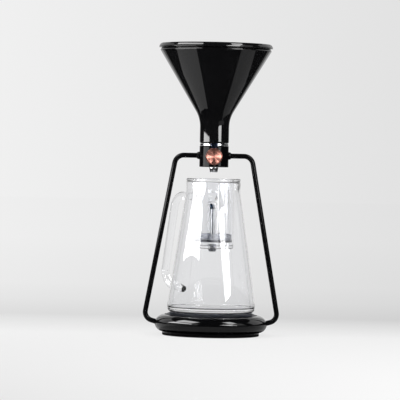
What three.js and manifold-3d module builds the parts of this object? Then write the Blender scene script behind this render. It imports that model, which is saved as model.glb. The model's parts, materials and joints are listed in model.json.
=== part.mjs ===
// A coffee dripper with a weighing base, a rod frame, a plug valve, a ceramic funnel and a glass jug.
// Lengths are millimetres, +Z is up, the knob faces -Y, and the origin is on the table under the axis.
import * as THREE from "three";
import { mergeVertices } from "three/addons/utils/BufferGeometryUtils.js";
import Module from "manifold-3d";

const wasm = await Module();
wasm.setup();

// Clearances and wall sizes that several pieces share
const GAP = 0.3;
const RUN = 0.25;
const CUT = 2;
const SIDES = 40;
const MID_SIDES = 24;
const SMALL_SIDES = 12;
const ROD_SIDES = 6;
const ARC_STEPS = 4;
const BEND_STEPS = 7;
const INNER_ARC_STEPS = 3;

// Base: foot, plate, shell and platform; the shell's widest radius sets the rings inside it
const SHELL_R = 85.2;
const SHELL_UNDERCUT = 10.8;
const SHELL_SHOULDER = 14.8;
const SHELL_LOWER_R = SHELL_R - SHELL_UNDERCUT;
const SHELL_OPENING_R = SHELL_R - SHELL_SHOULDER;
const FOOT_INSET = 1;
const FOOT_R = SHELL_LOWER_R - FOOT_INSET;
const FOOT_H = 3;
const FOOT_WIDTH = 9;
const PLATE_RIM_H = 2;
const PLATE_H = 3.2;
const PLATE_STEP = 2.2;
const SHELL_WALL = 2.6;
const SHELL_BULGE_Z = 18.5;
const SHELL_TOP_Z = 31;
const ROUND_POWER = 2;
const SHELL_UPPER_POWER = 1.75;
const PLATFORM_CLEARANCE = 1.2;
const PLATFORM_BEVEL = 8;
const PLATFORM_R = SHELL_OPENING_R - PLATFORM_CLEARANCE;
const PLATFORM_TOP_R = PLATFORM_R - PLATFORM_BEVEL;
const PLATFORM_TOP_Z = 34.5;
const PLATFORM_H = 5;
const CARRIER_INSET = 16;
const CARRIER_R = PLATFORM_R - CARRIER_INSET;
const CARRIER_H = 1.8;
const POST_R = 3.6;
const POST_INSET = 6;
const POST_CIRCLE_R = FOOT_R - POST_INSET;
const POST_TOP_Z = 24;
const RIB_T = 2.4;
const RIB_H = 7;

// Weighing cell and electronics
const CELL_LENGTH = 76;
const CELL_SIDE = 11;
const CELL_SPACER_LENGTH = 22;
const CELL_SPACER_H = 2.6;
const CELL_HOLE_SPACING = 56;
const CELL_SCREW_PITCH = 11;
const CELL_SCREW_LENGTH = 9;
const HOUSING_SCREW_LENGTH = 12;
const BOARD_SCREW_LENGTH = 3.6;
const BOARD_SCREW_R = 1;
const SCREW_R = 1.5;
const SCREW_HEAD_R = 2.8;
const SCREW_HEAD_H = 1.6;
const BOARD_LENGTH = 46;
const BOARD_WIDTH = 24;
const BOARD_H = 1.6;
const BOARD_Y = 34;
const STANDOFF_H = 3.2;
const STANDOFF_R = 2.4;
const CAN_SIZE = 12;
const CAN_H = 2.2;
const CHIP_SIZE = 7;
const CHIP_H = 1.1;
const SWITCH_SIZE = 6;
const SWITCH_H = 1.6;
const BUTTON_R = 5;
const BUTTON_RIM_R = 6.4;
const BUTTON_RIM_H = 0.7;
const BUTTON_RECESS = 0.8;
const BATTERY_R = 5.2;
const BATTERY_LENGTH = 44;
const BATTERY_PITCH = 12;
const BATTERY_Y = -33;
const HOLDER_WALL = 1.4;
const CONTACT_T = 0.5;
const DOOR_LENGTH = 50;
const DOOR_WIDTH = 24;
const DOOR_H = 1.4;
const DOOR_TRAVEL = 8;
const DOOR_Y = BATTERY_Y;
const BUTTON_X = 12;
const BUTTON_Y = BOARD_Y;

// Shares of a piece's own size
const WAIST_SHARE = 0.34;
const WAIST_SPREAD_SHARE = 0.9;
const NUB_SHARE = 0.4;
const GRIP_SHARE = 0.5;
const CORNER_DROP_SHARE = 0.4;
const HANDLE_ROOT_SHARE = 0.955;
const HANDLE_END_SLOPE_SHARE = 0.999;
const TIP_TAPER_SHARE = 0.84;
const STEM_NUT_SHARE = 0.7;

// Rod frame
const ROD_R = 3.8;
const ROD_ARM_RISE = 17.3;
const ROD_ARM_CORNER_X = 57.2;
const ROD_FOOT_STANDOFF = 16.2;
const ROD_FOOT_CORNER_X = SHELL_R + ROD_FOOT_STANDOFF;
const ROD_FOOT_CORNER_Z = 24.1;
const ROD_ENTRY_SLOPE = 0.268;
const ROD_UPPER_BEND_R = 14;
const ROD_LOWER_BEND_R = 13;
const ROD_TOP_END_X = 15.5;
const ROD_FOOT_DEPTH = 18;
const ROD_FOOT_END_X = SHELL_R - ROD_FOOT_DEPTH;
const ANCHOR_LENGTH = 15;
const ANCHOR_WIDTH = 16;
const ANCHOR_TOP_Z = 23.5;

// Valve
const VALVE_R = 22.1;
const VALVE_CLEARANCE = 22.3;
const VALVE_H = 32.3;
const VALVE_EDGE = 0.8;
const PLUG_RISE = 15.8;
const PLUG_R = 7.7;
const PLUG_HOLE_R = 3.6;
const PLUG_REAR_Y = 15;
const BORE_R = 4;
const SOCKET_DEPTH = 5;
const BOSS_R = 5.9;
const BOSS_END_R = 5;
const BOSS_REACH = 25.6;
const SEAL_TUBE_R = 0.8;
const SEAL_Y = 12.6;
const WASHER_H = 1;
const REAR_CAP_R = 11;
const REAR_CAP_H = 3.6;
const GRUB_R = 1.9;
const GRUB_LENGTH = 8;
const ADAPTOR_R = 21.7;
const ADAPTOR_H = 2.8;
const SPIGOT_R = 15;
const ADAPTOR_BORE_R = 6;
const MARKER_TOP_WIDTH = 10.4;
const MARKER_WIDTH = 7.4;
const MARKER_T = 1.4;
const NOZZLE_TOP_R = 6.8;
const NOZZLE_R = 5.6;
const NOZZLE_DROP = 7.7;
const NOZZLE_SHANK_R = 5.4;
const NOZZLE_SHANK_H = 4;
const NOZZLE_BORE_R = 2.2;
const NOZZLE_SLOTS = 8;
const NOZZLE_SLOT_W = 1.3;
const KNOB_R = 12.6;
const KNOB_H = 9;
const KNOB_EDGE = 0.9;
const KNOB_DISH = 0.5;
const KNOB_BORE_DEPTH = 6;

// Funnel
const NECK_R = 22.2;
const NECK_H = 37.8;
const CONE_H = 112.8;
const FUNNEL_R = 86.2;
const LIP_H = 6.6;
const LIP_GROOVE_R = 82.2;
const LIP_GROOVE_H = 1.2;
const SHOULDER_R = 84.4;
const SHOULDER_H = 3.6;
const LIP_WIDTH = 4.6;
const CONE_HALF_ANGLE = 0.5446;
const NECK_FILLET_R = 46;
const FUNNEL_WALL = 6;
const FUNNEL_SOCKET_H = 16;
const FUNNEL_OUTLET_R = 8;
const FUNNEL_SEAL_H = 2.4;

// Jug
const JUG_TOP_Z = 232.4;
const JUG_NECK_R = 41.2;
const JUG_NECK_BOTTOM_Z = 217;
const JUG_R = 66.6;
const JUG_BULGE_Z = 47.5;
const JUG_CORNER_R = 9;
const JUG_WALL = 2.2;
const SPOUT_REACH = 14;
const SPOUT_BOTTOM_Z = 186;
const SPOUT_TURN = -1;
const SPOUT_HALF_WIDTH = 0.46;
const SPOUT_RINGS = 3;
const HANDLE_R = 6.2;
const HANDLE_TURN = 2.32;
const HANDLE_UPPER_Z = 210;
const HANDLE_CORNER_Z = 76;
const HANDLE_LOWER_Z = 67;
const HANDLE_UPPER_REACH = 83;
const HANDLE_LOWER_REACH = 108;
const HANDLE_UPPER_BEND_R = 20;
const HANDLE_LOWER_BEND_R = 24;

// Drip chamber and strainer
const CHAMBER_R = 32;
const CHAMBER_WALL = 1.8;
const CHAMBER_BOTTOM_Z = 131.5;
const CHAMBER_FLOOR = 4;
const FLANGE_H = 4.8;
const FLANGE_R = 41;
const TIP_R = 6;
const TIP_LENGTH = 4.4;
const TIP_SHANK_R = 4;
const TIP_BORE_R = 1.6;
const TIP_FLANGE_H = 1.6;
const STRAINER_R = 29;
const STRAINER_FLOOR_Z = 145;
const STRAINER_T = 1;
const STRAINER_WALL_H = 8.6;
const STRAINER_HOLES = 20;
const STRAINER_HOLE_R = 1.5;
const STRAINER_SEAL_H = 3.4;
const STRAINER_SEAL_WIDTH = 3.6;
const STEM_R = 3.4;
const STEM_TOP_Z = 191;
const STEM_CAP_R = 4.1;
const STEM_CAP_H = 7;

// Heights that follow from the sizes above
const PLATE_Z = FOOT_H + GAP;
const PLATE_TOP_Z = PLATE_Z + PLATE_H;
const SHELL_Z = PLATE_Z + PLATE_RIM_H + GAP;
const CELL_Z = PLATE_TOP_Z + GAP + CELL_SPACER_H + GAP;
const CELL_TOP_Z = CELL_Z + CELL_SIDE;
const PLATFORM_Z = PLATFORM_TOP_Z - PLATFORM_H;
const BOARD_Z = PLATE_TOP_Z + STANDOFF_H + GAP;
const BOARD_TOP_Z = BOARD_Z + BOARD_H;
const HOLDER_BOTTOM_Z = PLATE_TOP_Z + GAP;
const BATTERY_Z = HOLDER_BOTTOM_Z + BATTERY_R + GAP;
const HOLDER_LENGTH = BATTERY_LENGTH + 2 * (CONTACT_T + HOLDER_WALL + 2 * GAP);
const HOLDER_WIDTH = BATTERY_PITCH + 2 * (BATTERY_R + GAP + HOLDER_WALL);
const HOLDER_TOP_Z = BATTERY_Z + BATTERY_R + GAP + HOLDER_WALL;
const VALVE_BOTTOM_Z = JUG_TOP_Z + VALVE_CLEARANCE;
const VALVE_TOP_Z = VALVE_BOTTOM_Z + VALVE_H;
const ROD_ARM_Z = VALVE_BOTTOM_Z + ROD_ARM_RISE;
const PLUG_Z = VALVE_BOTTOM_Z + PLUG_RISE;
const NOZZLE_BOTTOM_Z = VALVE_BOTTOM_Z - NOZZLE_DROP;
const ADAPTOR_Z = VALVE_TOP_Z + GAP;
const FUNNEL_Z = ADAPTOR_Z + ADAPTOR_H + GAP;
const CONE_CORNER_Z = FUNNEL_Z + NECK_H;
const FUNNEL_TOP_Z = CONE_CORNER_Z + CONE_H;
const FUNNEL_SEAT_Z = FUNNEL_Z + FUNNEL_SOCKET_H;
const SPIGOT_TOP_Z = FUNNEL_SEAT_Z - FUNNEL_SEAL_H - 2 * GAP;
const JUG_Z = PLATFORM_TOP_Z + GAP;
const CHAMBER_INNER_R = CHAMBER_R - CHAMBER_WALL;
const FLANGE_Z = JUG_TOP_Z + GAP;
const KNOB_BACK_Y = -(VALVE_R + GAP);
const CONE_SLOPE = Math.tan(CONE_HALF_ANGLE);
const HANDLE_ROOT_R = JUG_R * HANDLE_ROOT_SHARE;
const HANDLE_FOOT_SLOPE = (HANDLE_CORNER_Z - HANDLE_LOWER_Z) / (HANDLE_LOWER_REACH - HANDLE_ROOT_R);

// Finishes
const finish = (color, roughness, metalness) => () =>
  new THREE.MeshStandardMaterial({ color, roughness, metalness });
const blackGlaze = finish(0x0a0a0b, 0.08, 0);
const blackEnamel = finish(0x101011, 0.18, 0.2);
const blackPlastic = finish(0x0d0d0e, 0.15, 0);
const innerPlastic = finish(0x2b2b2d, 0.6, 0);
const rubber = finish(0x151515, 0.85, 0);
const silicone = finish(0x5a5a60, 0.7, 0);
const copper = finish(0xc98670, 0.25, 1);
const steel = finish(0xc4c6c8, 0.2, 1);
const darkChrome = finish(0x3a3d44, 0.15, 1);
const alloy = finish(0xb4b6b8, 0.4, 1);
const boardGreen = finish(0x14502e, 0.5, 0);
const brass = finish(0xb8964c, 0.3, 1);
const batteryWrap = finish(0x3c5a78, 0.4, 0.2);
const glass = () =>
  new THREE.MeshStandardMaterial({
    color: 0xf2f6f7, roughness: 0.03, metalness: 0, transparent: true, opacity: 0.3,
  });

// Solids for joins and cuts
function solidOf(geometry) {
  const bare = geometry.index ? geometry.toNonIndexed() : geometry.clone();
  bare.deleteAttribute("normal");
  bare.deleteAttribute("uv");
  const merged = mergeVertices(bare, 1e-4);
  return new wasm.Manifold(new wasm.Mesh({
    numProp: 3,
    vertProperties: new Float32Array(merged.attributes.position.array),
    triVerts: new Uint32Array(merged.index.array),
  }));
}

function geometryOf(solid) {
  const mesh = solid.getMesh();
  const points = new Float32Array(mesh.numVert * 3);
  for (let i = 0; i < mesh.numVert; i++) {
    points.set(mesh.vertProperties.subarray(i * mesh.numProp, i * mesh.numProp + 3), i * 3);
  }
  const geometry = new THREE.BufferGeometry();
  geometry.setAttribute("position", new THREE.BufferAttribute(points, 3));
  geometry.setIndex(new THREE.BufferAttribute(new Uint32Array(mesh.triVerts), 1));
  const flat = geometry.toNonIndexed();
  flat.computeVertexNormals();
  return flat;
}

const cut = (body, ...tools) =>
  geometryOf(tools.reduce((rest, tool) => rest.subtract(solidOf(tool)), solidOf(body)));
const join = (first, ...others) =>
  geometryOf(others.reduce((sum, next) => sum.add(solidOf(next)), solidOf(first)));

// A turned piece about Z; its outline runs counter-clockwise, closed or from axis to axis
function turned(outline, sides = SIDES) {
  const points = outline.map(([r, z]) => new THREE.Vector2(r, z));
  if (points[0].x !== 0) points.push(points[0].clone());
  return new THREE.LatheGeometry(points, sides).rotateX(Math.PI / 2);
}

const disc = (radius, bottom, top, sides = SIDES) =>
  turned([[0, bottom], [radius, bottom], [radius, top], [0, top]], sides);
const tube = (outer, inner, bottom, top, sides = SIDES) =>
  turned([[inner, bottom], [outer, bottom], [outer, top], [inner, top]], sides);
const block = (lengthX, lengthY, bottom, top) =>
  new THREE.BoxGeometry(lengthX, lengthY, top - bottom).translate(0, 0, (bottom + top) / 2);
// Lays a piece that was turned about Z along +Y
const alongY = (geometry, z) => geometry.rotateX(-Math.PI / 2).translate(0, 0, z);
// Lays a piece that was turned about Z along +X
const alongX = (geometry, z) => geometry.rotateY(Math.PI / 2).translate(0, 0, z);

const part = new THREE.Group();
function add(name, geometry, material) {
  const mesh = new THREE.Mesh(geometry, material());
  mesh.name = name;
  part.add(mesh);
  return mesh;
}

// A bent rod's centreline: straight runs with round corners, with rings only where the shape turns
class BentLine extends THREE.Curve {
  constructor(corners, bendRadii, arcSteps) {
    super();
    this.stations = [corners[0]];
    corners.slice(1, -1).forEach((corner, i) => {
      const back = corners[i].clone().sub(corner).normalize();
      const ahead = corners[i + 2].clone().sub(corner).normalize();
      const half = back.angleTo(ahead) / 2;
      const reach = bendRadii[i] / Math.tan(half);
      const middle = back.clone().add(ahead).normalize();
      const centre = middle.multiplyScalar(bendRadii[i] / Math.sin(half)).add(corner);
      const from = back.multiplyScalar(reach).add(corner).sub(centre);
      const to = ahead.multiplyScalar(reach).add(corner).sub(centre);
      const turn = from.angleTo(to);
      const axis = from.clone().cross(to).normalize();
      for (let step = 0; step <= arcSteps; step++) {
        const spoke = from.clone().applyAxisAngle(axis, (turn * step) / arcSteps);
        this.stations.push(spoke.add(centre));
      }
    });
    this.stations.push(corners[corners.length - 1]);
  }
  get steps() {
    return this.stations.length - 1;
  }
  getPoint(t, target = new THREE.Vector3()) {
    const place = Math.min(Math.max(t, 0), 1) * this.steps;
    const index = Math.min(Math.floor(place), this.steps - 1);
    return target.lerpVectors(this.stations[index], this.stations[index + 1], place - index);
  }
  getPointAt(u, target) {
    return this.getPoint(u, target);
  }
  getTangentAt(u, target) {
    return this.getTangent(u, target);
  }
}

function circle(radius) {
  const shape = new THREE.Shape();
  shape.absarc(0, 0, radius, 0, 2 * Math.PI);
  return shape;
}

// A round bar along a bent line; a full circle gets two sides for each curve segment
function bentBar(radius, line, sides) {
  return new THREE.ExtrudeGeometry(circle(radius), {
    steps: line.steps, curveSegments: sides, bevelEnabled: false, extrudePath: line,
  });
}

// Base
function footRing() {
  return tube(FOOT_R, FOOT_R - FOOT_WIDTH, 0, FOOT_H);
}

function screwPlaces() {
  return [45, 135, 225, 315].map((degrees) => {
    const angle = THREE.MathUtils.degToRad(degrees);
    return [POST_CIRCLE_R * Math.cos(angle), POST_CIRCLE_R * Math.sin(angle)];
  });
}

const cellScrewPlaces = (side) => [-1, 1].map((place) =>
  side * CELL_HOLE_SPACING / 2 + place * CELL_SCREW_PITCH / 2);
const boardScrewPlaces = () => [-1, 1].map((side) =>
  [side * (BOARD_LENGTH / 2 - STANDOFF_R), BOARD_Y + BOARD_WIDTH / 2 - STANDOFF_R]);

function basePlate() {
  const bodyR = FOOT_R - PLATE_STEP;
  const plate = turned([
    [0, PLATE_Z], [FOOT_R, PLATE_Z], [FOOT_R, PLATE_Z + PLATE_RIM_H],
    [bodyR, PLATE_Z + PLATE_RIM_H], [bodyR, PLATE_TOP_Z], [0, PLATE_TOP_Z],
  ]);
  const doorRecess = block(DOOR_LENGTH + 2 * GAP, DOOR_WIDTH + 2 * GAP + DOOR_TRAVEL,
    PLATE_Z - CUT, PLATE_Z + DOOR_H + GAP).translate(0, DOOR_Y + DOOR_TRAVEL / 2, 0);
  const batteryWindow = block(DOOR_LENGTH - 2 * HOLDER_WALL, DOOR_WIDTH - 2 * HOLDER_WALL,
    PLATE_Z - CUT, PLATE_TOP_Z + CUT).translate(0, DOOR_Y, 0);
  const buttonHole = disc(BUTTON_R + RUN, PLATE_Z - CUT, PLATE_TOP_Z + CUT, SMALL_SIDES)
    .translate(BUTTON_X, BUTTON_Y, 0);
  const underScrews = [...screwPlaces(), ...cellScrewPlaces(-1).map((x) => [x, 0])];
  const screwHoles = underScrews.map(([x, y]) =>
    disc(SCREW_R + RUN, PLATE_Z - CUT, PLATE_TOP_Z + CUT, SMALL_SIDES).translate(x, y, 0));
  const headHoles = underScrews.map(([x, y]) =>
    disc(SCREW_HEAD_R + RUN, PLATE_Z - CUT, PLATE_Z + SCREW_HEAD_H + GAP, SMALL_SIDES)
      .translate(x, y, 0));
  const standoffs = boardScrewPlaces().map(([x, y]) =>
    disc(STANDOFF_R, PLATE_TOP_Z - PLATE_H / 2, PLATE_TOP_Z + STANDOFF_H, SMALL_SIDES)
      .translate(x, y, 0));
  const standoffHoles = boardScrewPlaces().map(([x, y]) =>
    disc(BOARD_SCREW_R + RUN, PLATE_TOP_Z, PLATE_TOP_Z + STANDOFF_H + CUT, SMALL_SIDES)
      .translate(x, y, 0));
  const holed = cut(plate, doorRecess, batteryWindow, buttonHole, ...screwHoles, ...headHoles);
  return cut(join(holed, ...standoffs), ...standoffHoles);
}

// A quarter of a rounded outline that bulges from one point to the other, fuller as its power rises
function bulge(fromR, fromZ, toR, toZ, power, steps, risesFirst) {
  const points = [];
  for (let i = 0; i <= steps; i++) {
    const angle = (Math.PI / 2) * (i / steps);
    const across = Math.sin(angle) ** (2 / power);
    const along = 1 - Math.cos(angle) ** (2 / power);
    const [shareR, shareZ] = risesFirst ? [along, across] : [across, along];
    points.push([fromR + (toR - fromR) * shareR, fromZ + (toZ - fromZ) * shareZ]);
  }
  return points;
}

function baseShell() {
  const wall = SHELL_WALL;
  const outline = [
    ...bulge(SHELL_LOWER_R, SHELL_Z, SHELL_R, SHELL_BULGE_Z, ROUND_POWER, ARC_STEPS, false),
    ...bulge(SHELL_R, SHELL_BULGE_Z, SHELL_OPENING_R, SHELL_TOP_Z, SHELL_UPPER_POWER, ARC_STEPS, true)
      .slice(1),
    ...bulge(SHELL_OPENING_R, SHELL_TOP_Z - wall, SHELL_R - wall, SHELL_BULGE_Z, SHELL_UPPER_POWER,
      INNER_ARC_STEPS, false),
    ...bulge(SHELL_R - wall, SHELL_BULGE_Z, SHELL_LOWER_R - wall / 2, SHELL_Z + wall, ROUND_POWER,
      INNER_ARC_STEPS, true).slice(1),
    [SHELL_LOWER_R - wall / 2, SHELL_Z],
  ];
  const ribLength = SHELL_R - wall / 2 - POST_CIRCLE_R;
  const posts = screwPlaces().map(([x, y]) =>
    disc(POST_R, PLATE_TOP_Z + GAP, POST_TOP_Z, SMALL_SIDES).translate(x, y, 0));
  const ribs = screwPlaces().map(([x, y]) =>
    block(ribLength, RIB_T, SHELL_BULGE_Z - RIB_H / 2, SHELL_BULGE_Z + RIB_H / 2)
      .translate(POST_CIRCLE_R + ribLength / 2, 0, 0).rotateZ(Math.atan2(y, x)));
  const screwHoles = screwPlaces().map(([x, y]) =>
    disc(SCREW_R + RUN, PLATE_Z, PLATE_TOP_Z + HOUSING_SCREW_LENGTH, SMALL_SIDES).translate(x, y, 0));
  const rodHoles = [0, Math.PI].map((turn) =>
    new THREE.ExtrudeGeometry(circle(ROD_R + RUN), {
      steps: 1, curveSegments: ROD_SIDES, bevelEnabled: false,
      extrudePath: new THREE.LineCurve3(rodPoint(ROD_FOOT_END_X), rodPoint(SHELL_R + ROD_R)),
    }).rotateZ(turn));
  return cut(join(turned(outline), ...posts, ...ribs), ...screwHoles, ...rodHoles);
}

function platform() {
  const bevelZ = SHELL_TOP_Z;
  const lip = PLATFORM_H / 2;
  return turned([
    [0, PLATFORM_Z], [PLATFORM_R - lip, PLATFORM_Z], [PLATFORM_R, bevelZ],
    [PLATFORM_TOP_R, PLATFORM_TOP_Z], [0, PLATFORM_TOP_Z],
  ]);
}

function platformCarrier() {
  const top = PLATFORM_Z - GAP;
  const plate = disc(CARRIER_R, top - CARRIER_H, top, SIDES);
  const pad = block(CELL_SPACER_LENGTH, CELL_SIDE, CELL_TOP_Z + GAP, top - CARRIER_H / 2)
    .translate(CELL_LENGTH / 2 - CELL_SPACER_LENGTH / 2, 0, 0);
  const holes = cellScrewPlaces(1).map((x) =>
    disc(SCREW_R + RUN, CELL_TOP_Z, top + CUT, SMALL_SIDES).translate(x, 0, 0));
  const headHoles = cellScrewPlaces(1).map((x) =>
    disc(SCREW_HEAD_R + RUN, top - SCREW_HEAD_H - GAP, top + CUT, SMALL_SIDES).translate(x, 0, 0));
  return cut(join(plate, pad), ...holes, ...headHoles);
}

function loadCell() {
  const bar = block(CELL_LENGTH, CELL_SIDE, CELL_Z, CELL_TOP_Z);
  const middle = (CELL_Z + CELL_TOP_Z) / 2;
  const waistR = CELL_SIDE * WAIST_SHARE;
  const waist = [-1, 1].map((side) => alongY(disc(waistR, -CELL_SIDE, CELL_SIDE, SMALL_SIDES), middle)
    .translate(side * waistR * WAIST_SPREAD_SHARE, 0, 0));
  const holes = [...cellScrewPlaces(-1), ...cellScrewPlaces(1)].map((x) =>
    disc(SCREW_R + RUN, CELL_Z - CUT, CELL_TOP_Z + CUT, SMALL_SIDES).translate(x, 0, 0));
  return cut(bar, ...waist, ...holes);
}

function cellSpacer() {
  const spacer = block(CELL_SPACER_LENGTH, CELL_SIDE, PLATE_TOP_Z + GAP, CELL_Z - GAP)
    .translate(CELL_SPACER_LENGTH / 2 - CELL_LENGTH / 2, 0, 0);
  const holes = cellScrewPlaces(-1).map((x) =>
    disc(SCREW_R + RUN, PLATE_Z, CELL_Z, SMALL_SIDES).translate(x, 0, 0));
  return cut(spacer, ...holes);
}

// A screw along +Z with its head at the bottom
function screw(length) {
  return turned([
    [0, 0], [SCREW_HEAD_R, 0], [SCREW_HEAD_R, SCREW_HEAD_H], [SCREW_R, SCREW_HEAD_H],
    [SCREW_R, SCREW_HEAD_H + length], [0, SCREW_HEAD_H + length],
  ], SMALL_SIDES);
}

// A short screw that holds the board down, with its head on top
function boardScrew() {
  const seat = BOARD_TOP_Z + GAP;
  return turned([
    [0, seat - BOARD_SCREW_LENGTH], [BOARD_SCREW_R, seat - BOARD_SCREW_LENGTH], [BOARD_SCREW_R, seat],
    [2 * BOARD_SCREW_R, seat], [2 * BOARD_SCREW_R, seat + BOARD_SCREW_R], [0, seat + BOARD_SCREW_R],
  ], SMALL_SIDES);
}

function circuitBoard() {
  const board = block(BOARD_LENGTH, BOARD_WIDTH, BOARD_Z, BOARD_TOP_Z).translate(0, BOARD_Y, 0);
  const holes = boardScrewPlaces().map(([x, y]) =>
    disc(BOARD_SCREW_R + RUN, BOARD_Z - CUT, BOARD_TOP_Z + CUT, SMALL_SIDES).translate(x, y, 0));
  return cut(board, ...holes);
}

function battery() {
  const nubR = BATTERY_R * NUB_SHARE;
  const nubH = BATTERY_R * NUB_SHARE / 2;
  return alongX(turned([
    [0, -BATTERY_LENGTH / 2], [BATTERY_R, -BATTERY_LENGTH / 2], [BATTERY_R, BATTERY_LENGTH / 2 - nubH],
    [nubR, BATTERY_LENGTH / 2 - nubH], [nubR, BATTERY_LENGTH / 2], [0, BATTERY_LENGTH / 2],
  ], SMALL_SIDES), 0);
}

function batteryHolder() {
  const box = block(HOLDER_LENGTH, HOLDER_WIDTH, HOLDER_BOTTOM_Z, HOLDER_TOP_Z);
  const hollow = block(HOLDER_LENGTH - 2 * HOLDER_WALL, HOLDER_WIDTH - 2 * HOLDER_WALL,
    HOLDER_BOTTOM_Z - CUT, HOLDER_TOP_Z - HOLDER_WALL);
  return cut(box, hollow).translate(0, BATTERY_Y, 0);
}

function batteryContact(side) {
  const height = 2 * BATTERY_R;
  const width = HOLDER_WIDTH - 2 * HOLDER_WALL - 2 * GAP;
  return block(CONTACT_T, width, BATTERY_Z - height / 2, BATTERY_Z + height / 2)
    .translate(side * (HOLDER_LENGTH / 2 - HOLDER_WALL - GAP - CONTACT_T / 2), BATTERY_Y, 0);
}

function batteryDoor() {
  const door = block(DOOR_LENGTH, DOOR_WIDTH, PLATE_Z, PLATE_Z + DOOR_H).translate(0, DOOR_Y, 0);
  const grooves = [-1, 0, 1].map((place) =>
    block(DOOR_LENGTH * GRIP_SHARE, HOLDER_WALL, PLATE_Z - CUT, PLATE_Z + DOOR_H / 3)
      .translate(0, DOOR_Y + DOOR_WIDTH / 4 + place * 2 * HOLDER_WALL, 0));
  return cut(door, ...grooves);
}

function powerButton() {
  const rimZ = PLATE_TOP_Z + GAP;
  return turned([
    [0, PLATE_Z + BUTTON_RECESS], [BUTTON_R - BUTTON_RIM_H, PLATE_Z + BUTTON_RECESS],
    [BUTTON_R, PLATE_Z + BUTTON_RECESS + BUTTON_RIM_H], [BUTTON_R, rimZ], [BUTTON_RIM_R, rimZ],
    [BUTTON_RIM_R, rimZ + BUTTON_RIM_H], [0, rimZ + BUTTON_RIM_H],
  ], MID_SIDES).translate(BUTTON_X, BUTTON_Y, 0);
}

function rodAnchor(side) {
  const centreX = ROD_FOOT_END_X + GAP;
  const outerX = centreX + ANCHOR_LENGTH / 2;
  const innerX = centreX - ANCHOR_LENGTH / 2;
  const corners = [innerX, outerX].map((x) => new THREE.Vector2(x, 0));
  const lean = new THREE.Shape();
  lean.moveTo(corners[0].x, PLATE_TOP_Z + GAP);
  lean.lineTo(FOOT_R - PLATE_STEP - SHELL_WALL, PLATE_TOP_Z + GAP);
  lean.lineTo(corners[1].x, SHELL_BULGE_Z - ROD_R - SHELL_WALL);
  lean.lineTo(corners[1].x, ANCHOR_TOP_Z);
  lean.lineTo(corners[0].x, ANCHOR_TOP_Z);
  const profile = new THREE.ExtrudeGeometry(lean, { depth: ANCHOR_WIDTH, bevelEnabled: false })
    .translate(0, 0, -ANCHOR_WIDTH / 2).rotateX(Math.PI / 2);
  const bore = new THREE.ExtrudeGeometry(circle(ROD_R + RUN), {
    steps: 1, curveSegments: ROD_SIDES, bevelEnabled: false,
    extrudePath: new THREE.LineCurve3(rodPoint(ROD_FOOT_END_X - GAP), rodPoint(SHELL_R)),
  });
  const screwHole = disc(SCREW_R + RUN, rodPoint(anchorScrewX()).z, ANCHOR_TOP_Z + CUT, SMALL_SIDES)
    .translate(anchorScrewX(), 0, 0);
  return cut(profile, bore, screwHole).rotateZ(side > 0 ? 0 : Math.PI);
}

const anchorScrewX = () => ROD_FOOT_END_X + ANCHOR_LENGTH / 4;

function anchorScrew(side) {
  const bottom = rodPoint(anchorScrewX() + SCREW_R).z + ROD_R + GAP;
  return disc(SCREW_R, bottom, ANCHOR_TOP_Z, SMALL_SIDES).translate(side * anchorScrewX(), 0, 0);
}

// Rod frame
const rodPoint = (x) => new THREE.Vector3(
  x, 0, ROD_FOOT_CORNER_Z + (x - ROD_FOOT_CORNER_X) * ROD_ENTRY_SLOPE);

function rod(side) {
  const corners = [
    new THREE.Vector3(ROD_TOP_END_X, 0, ROD_ARM_Z),
    new THREE.Vector3(ROD_ARM_CORNER_X, 0, ROD_ARM_Z),
    new THREE.Vector3(ROD_FOOT_CORNER_X, 0, ROD_FOOT_CORNER_Z),
    rodPoint(ROD_FOOT_END_X),
  ];
  const line = new BentLine(corners, [ROD_UPPER_BEND_R, ROD_LOWER_BEND_R], BEND_STEPS);
  return bentBar(ROD_R, line, ROD_SIDES).rotateZ(side > 0 ? 0 : Math.PI);
}

// Valve
const grubX = () => (ROD_TOP_END_X + VALVE_R) / 2 - GRUB_R / 2;
const washerY = () => PLUG_REAR_Y + GAP;
const rearCapY = () => washerY() + WASHER_H + GAP;
const plugStubR = () => PLUG_R / 2;
const knobScrewY = () => KNOB_BACK_Y - KNOB_BORE_DEPTH / 2;

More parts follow.
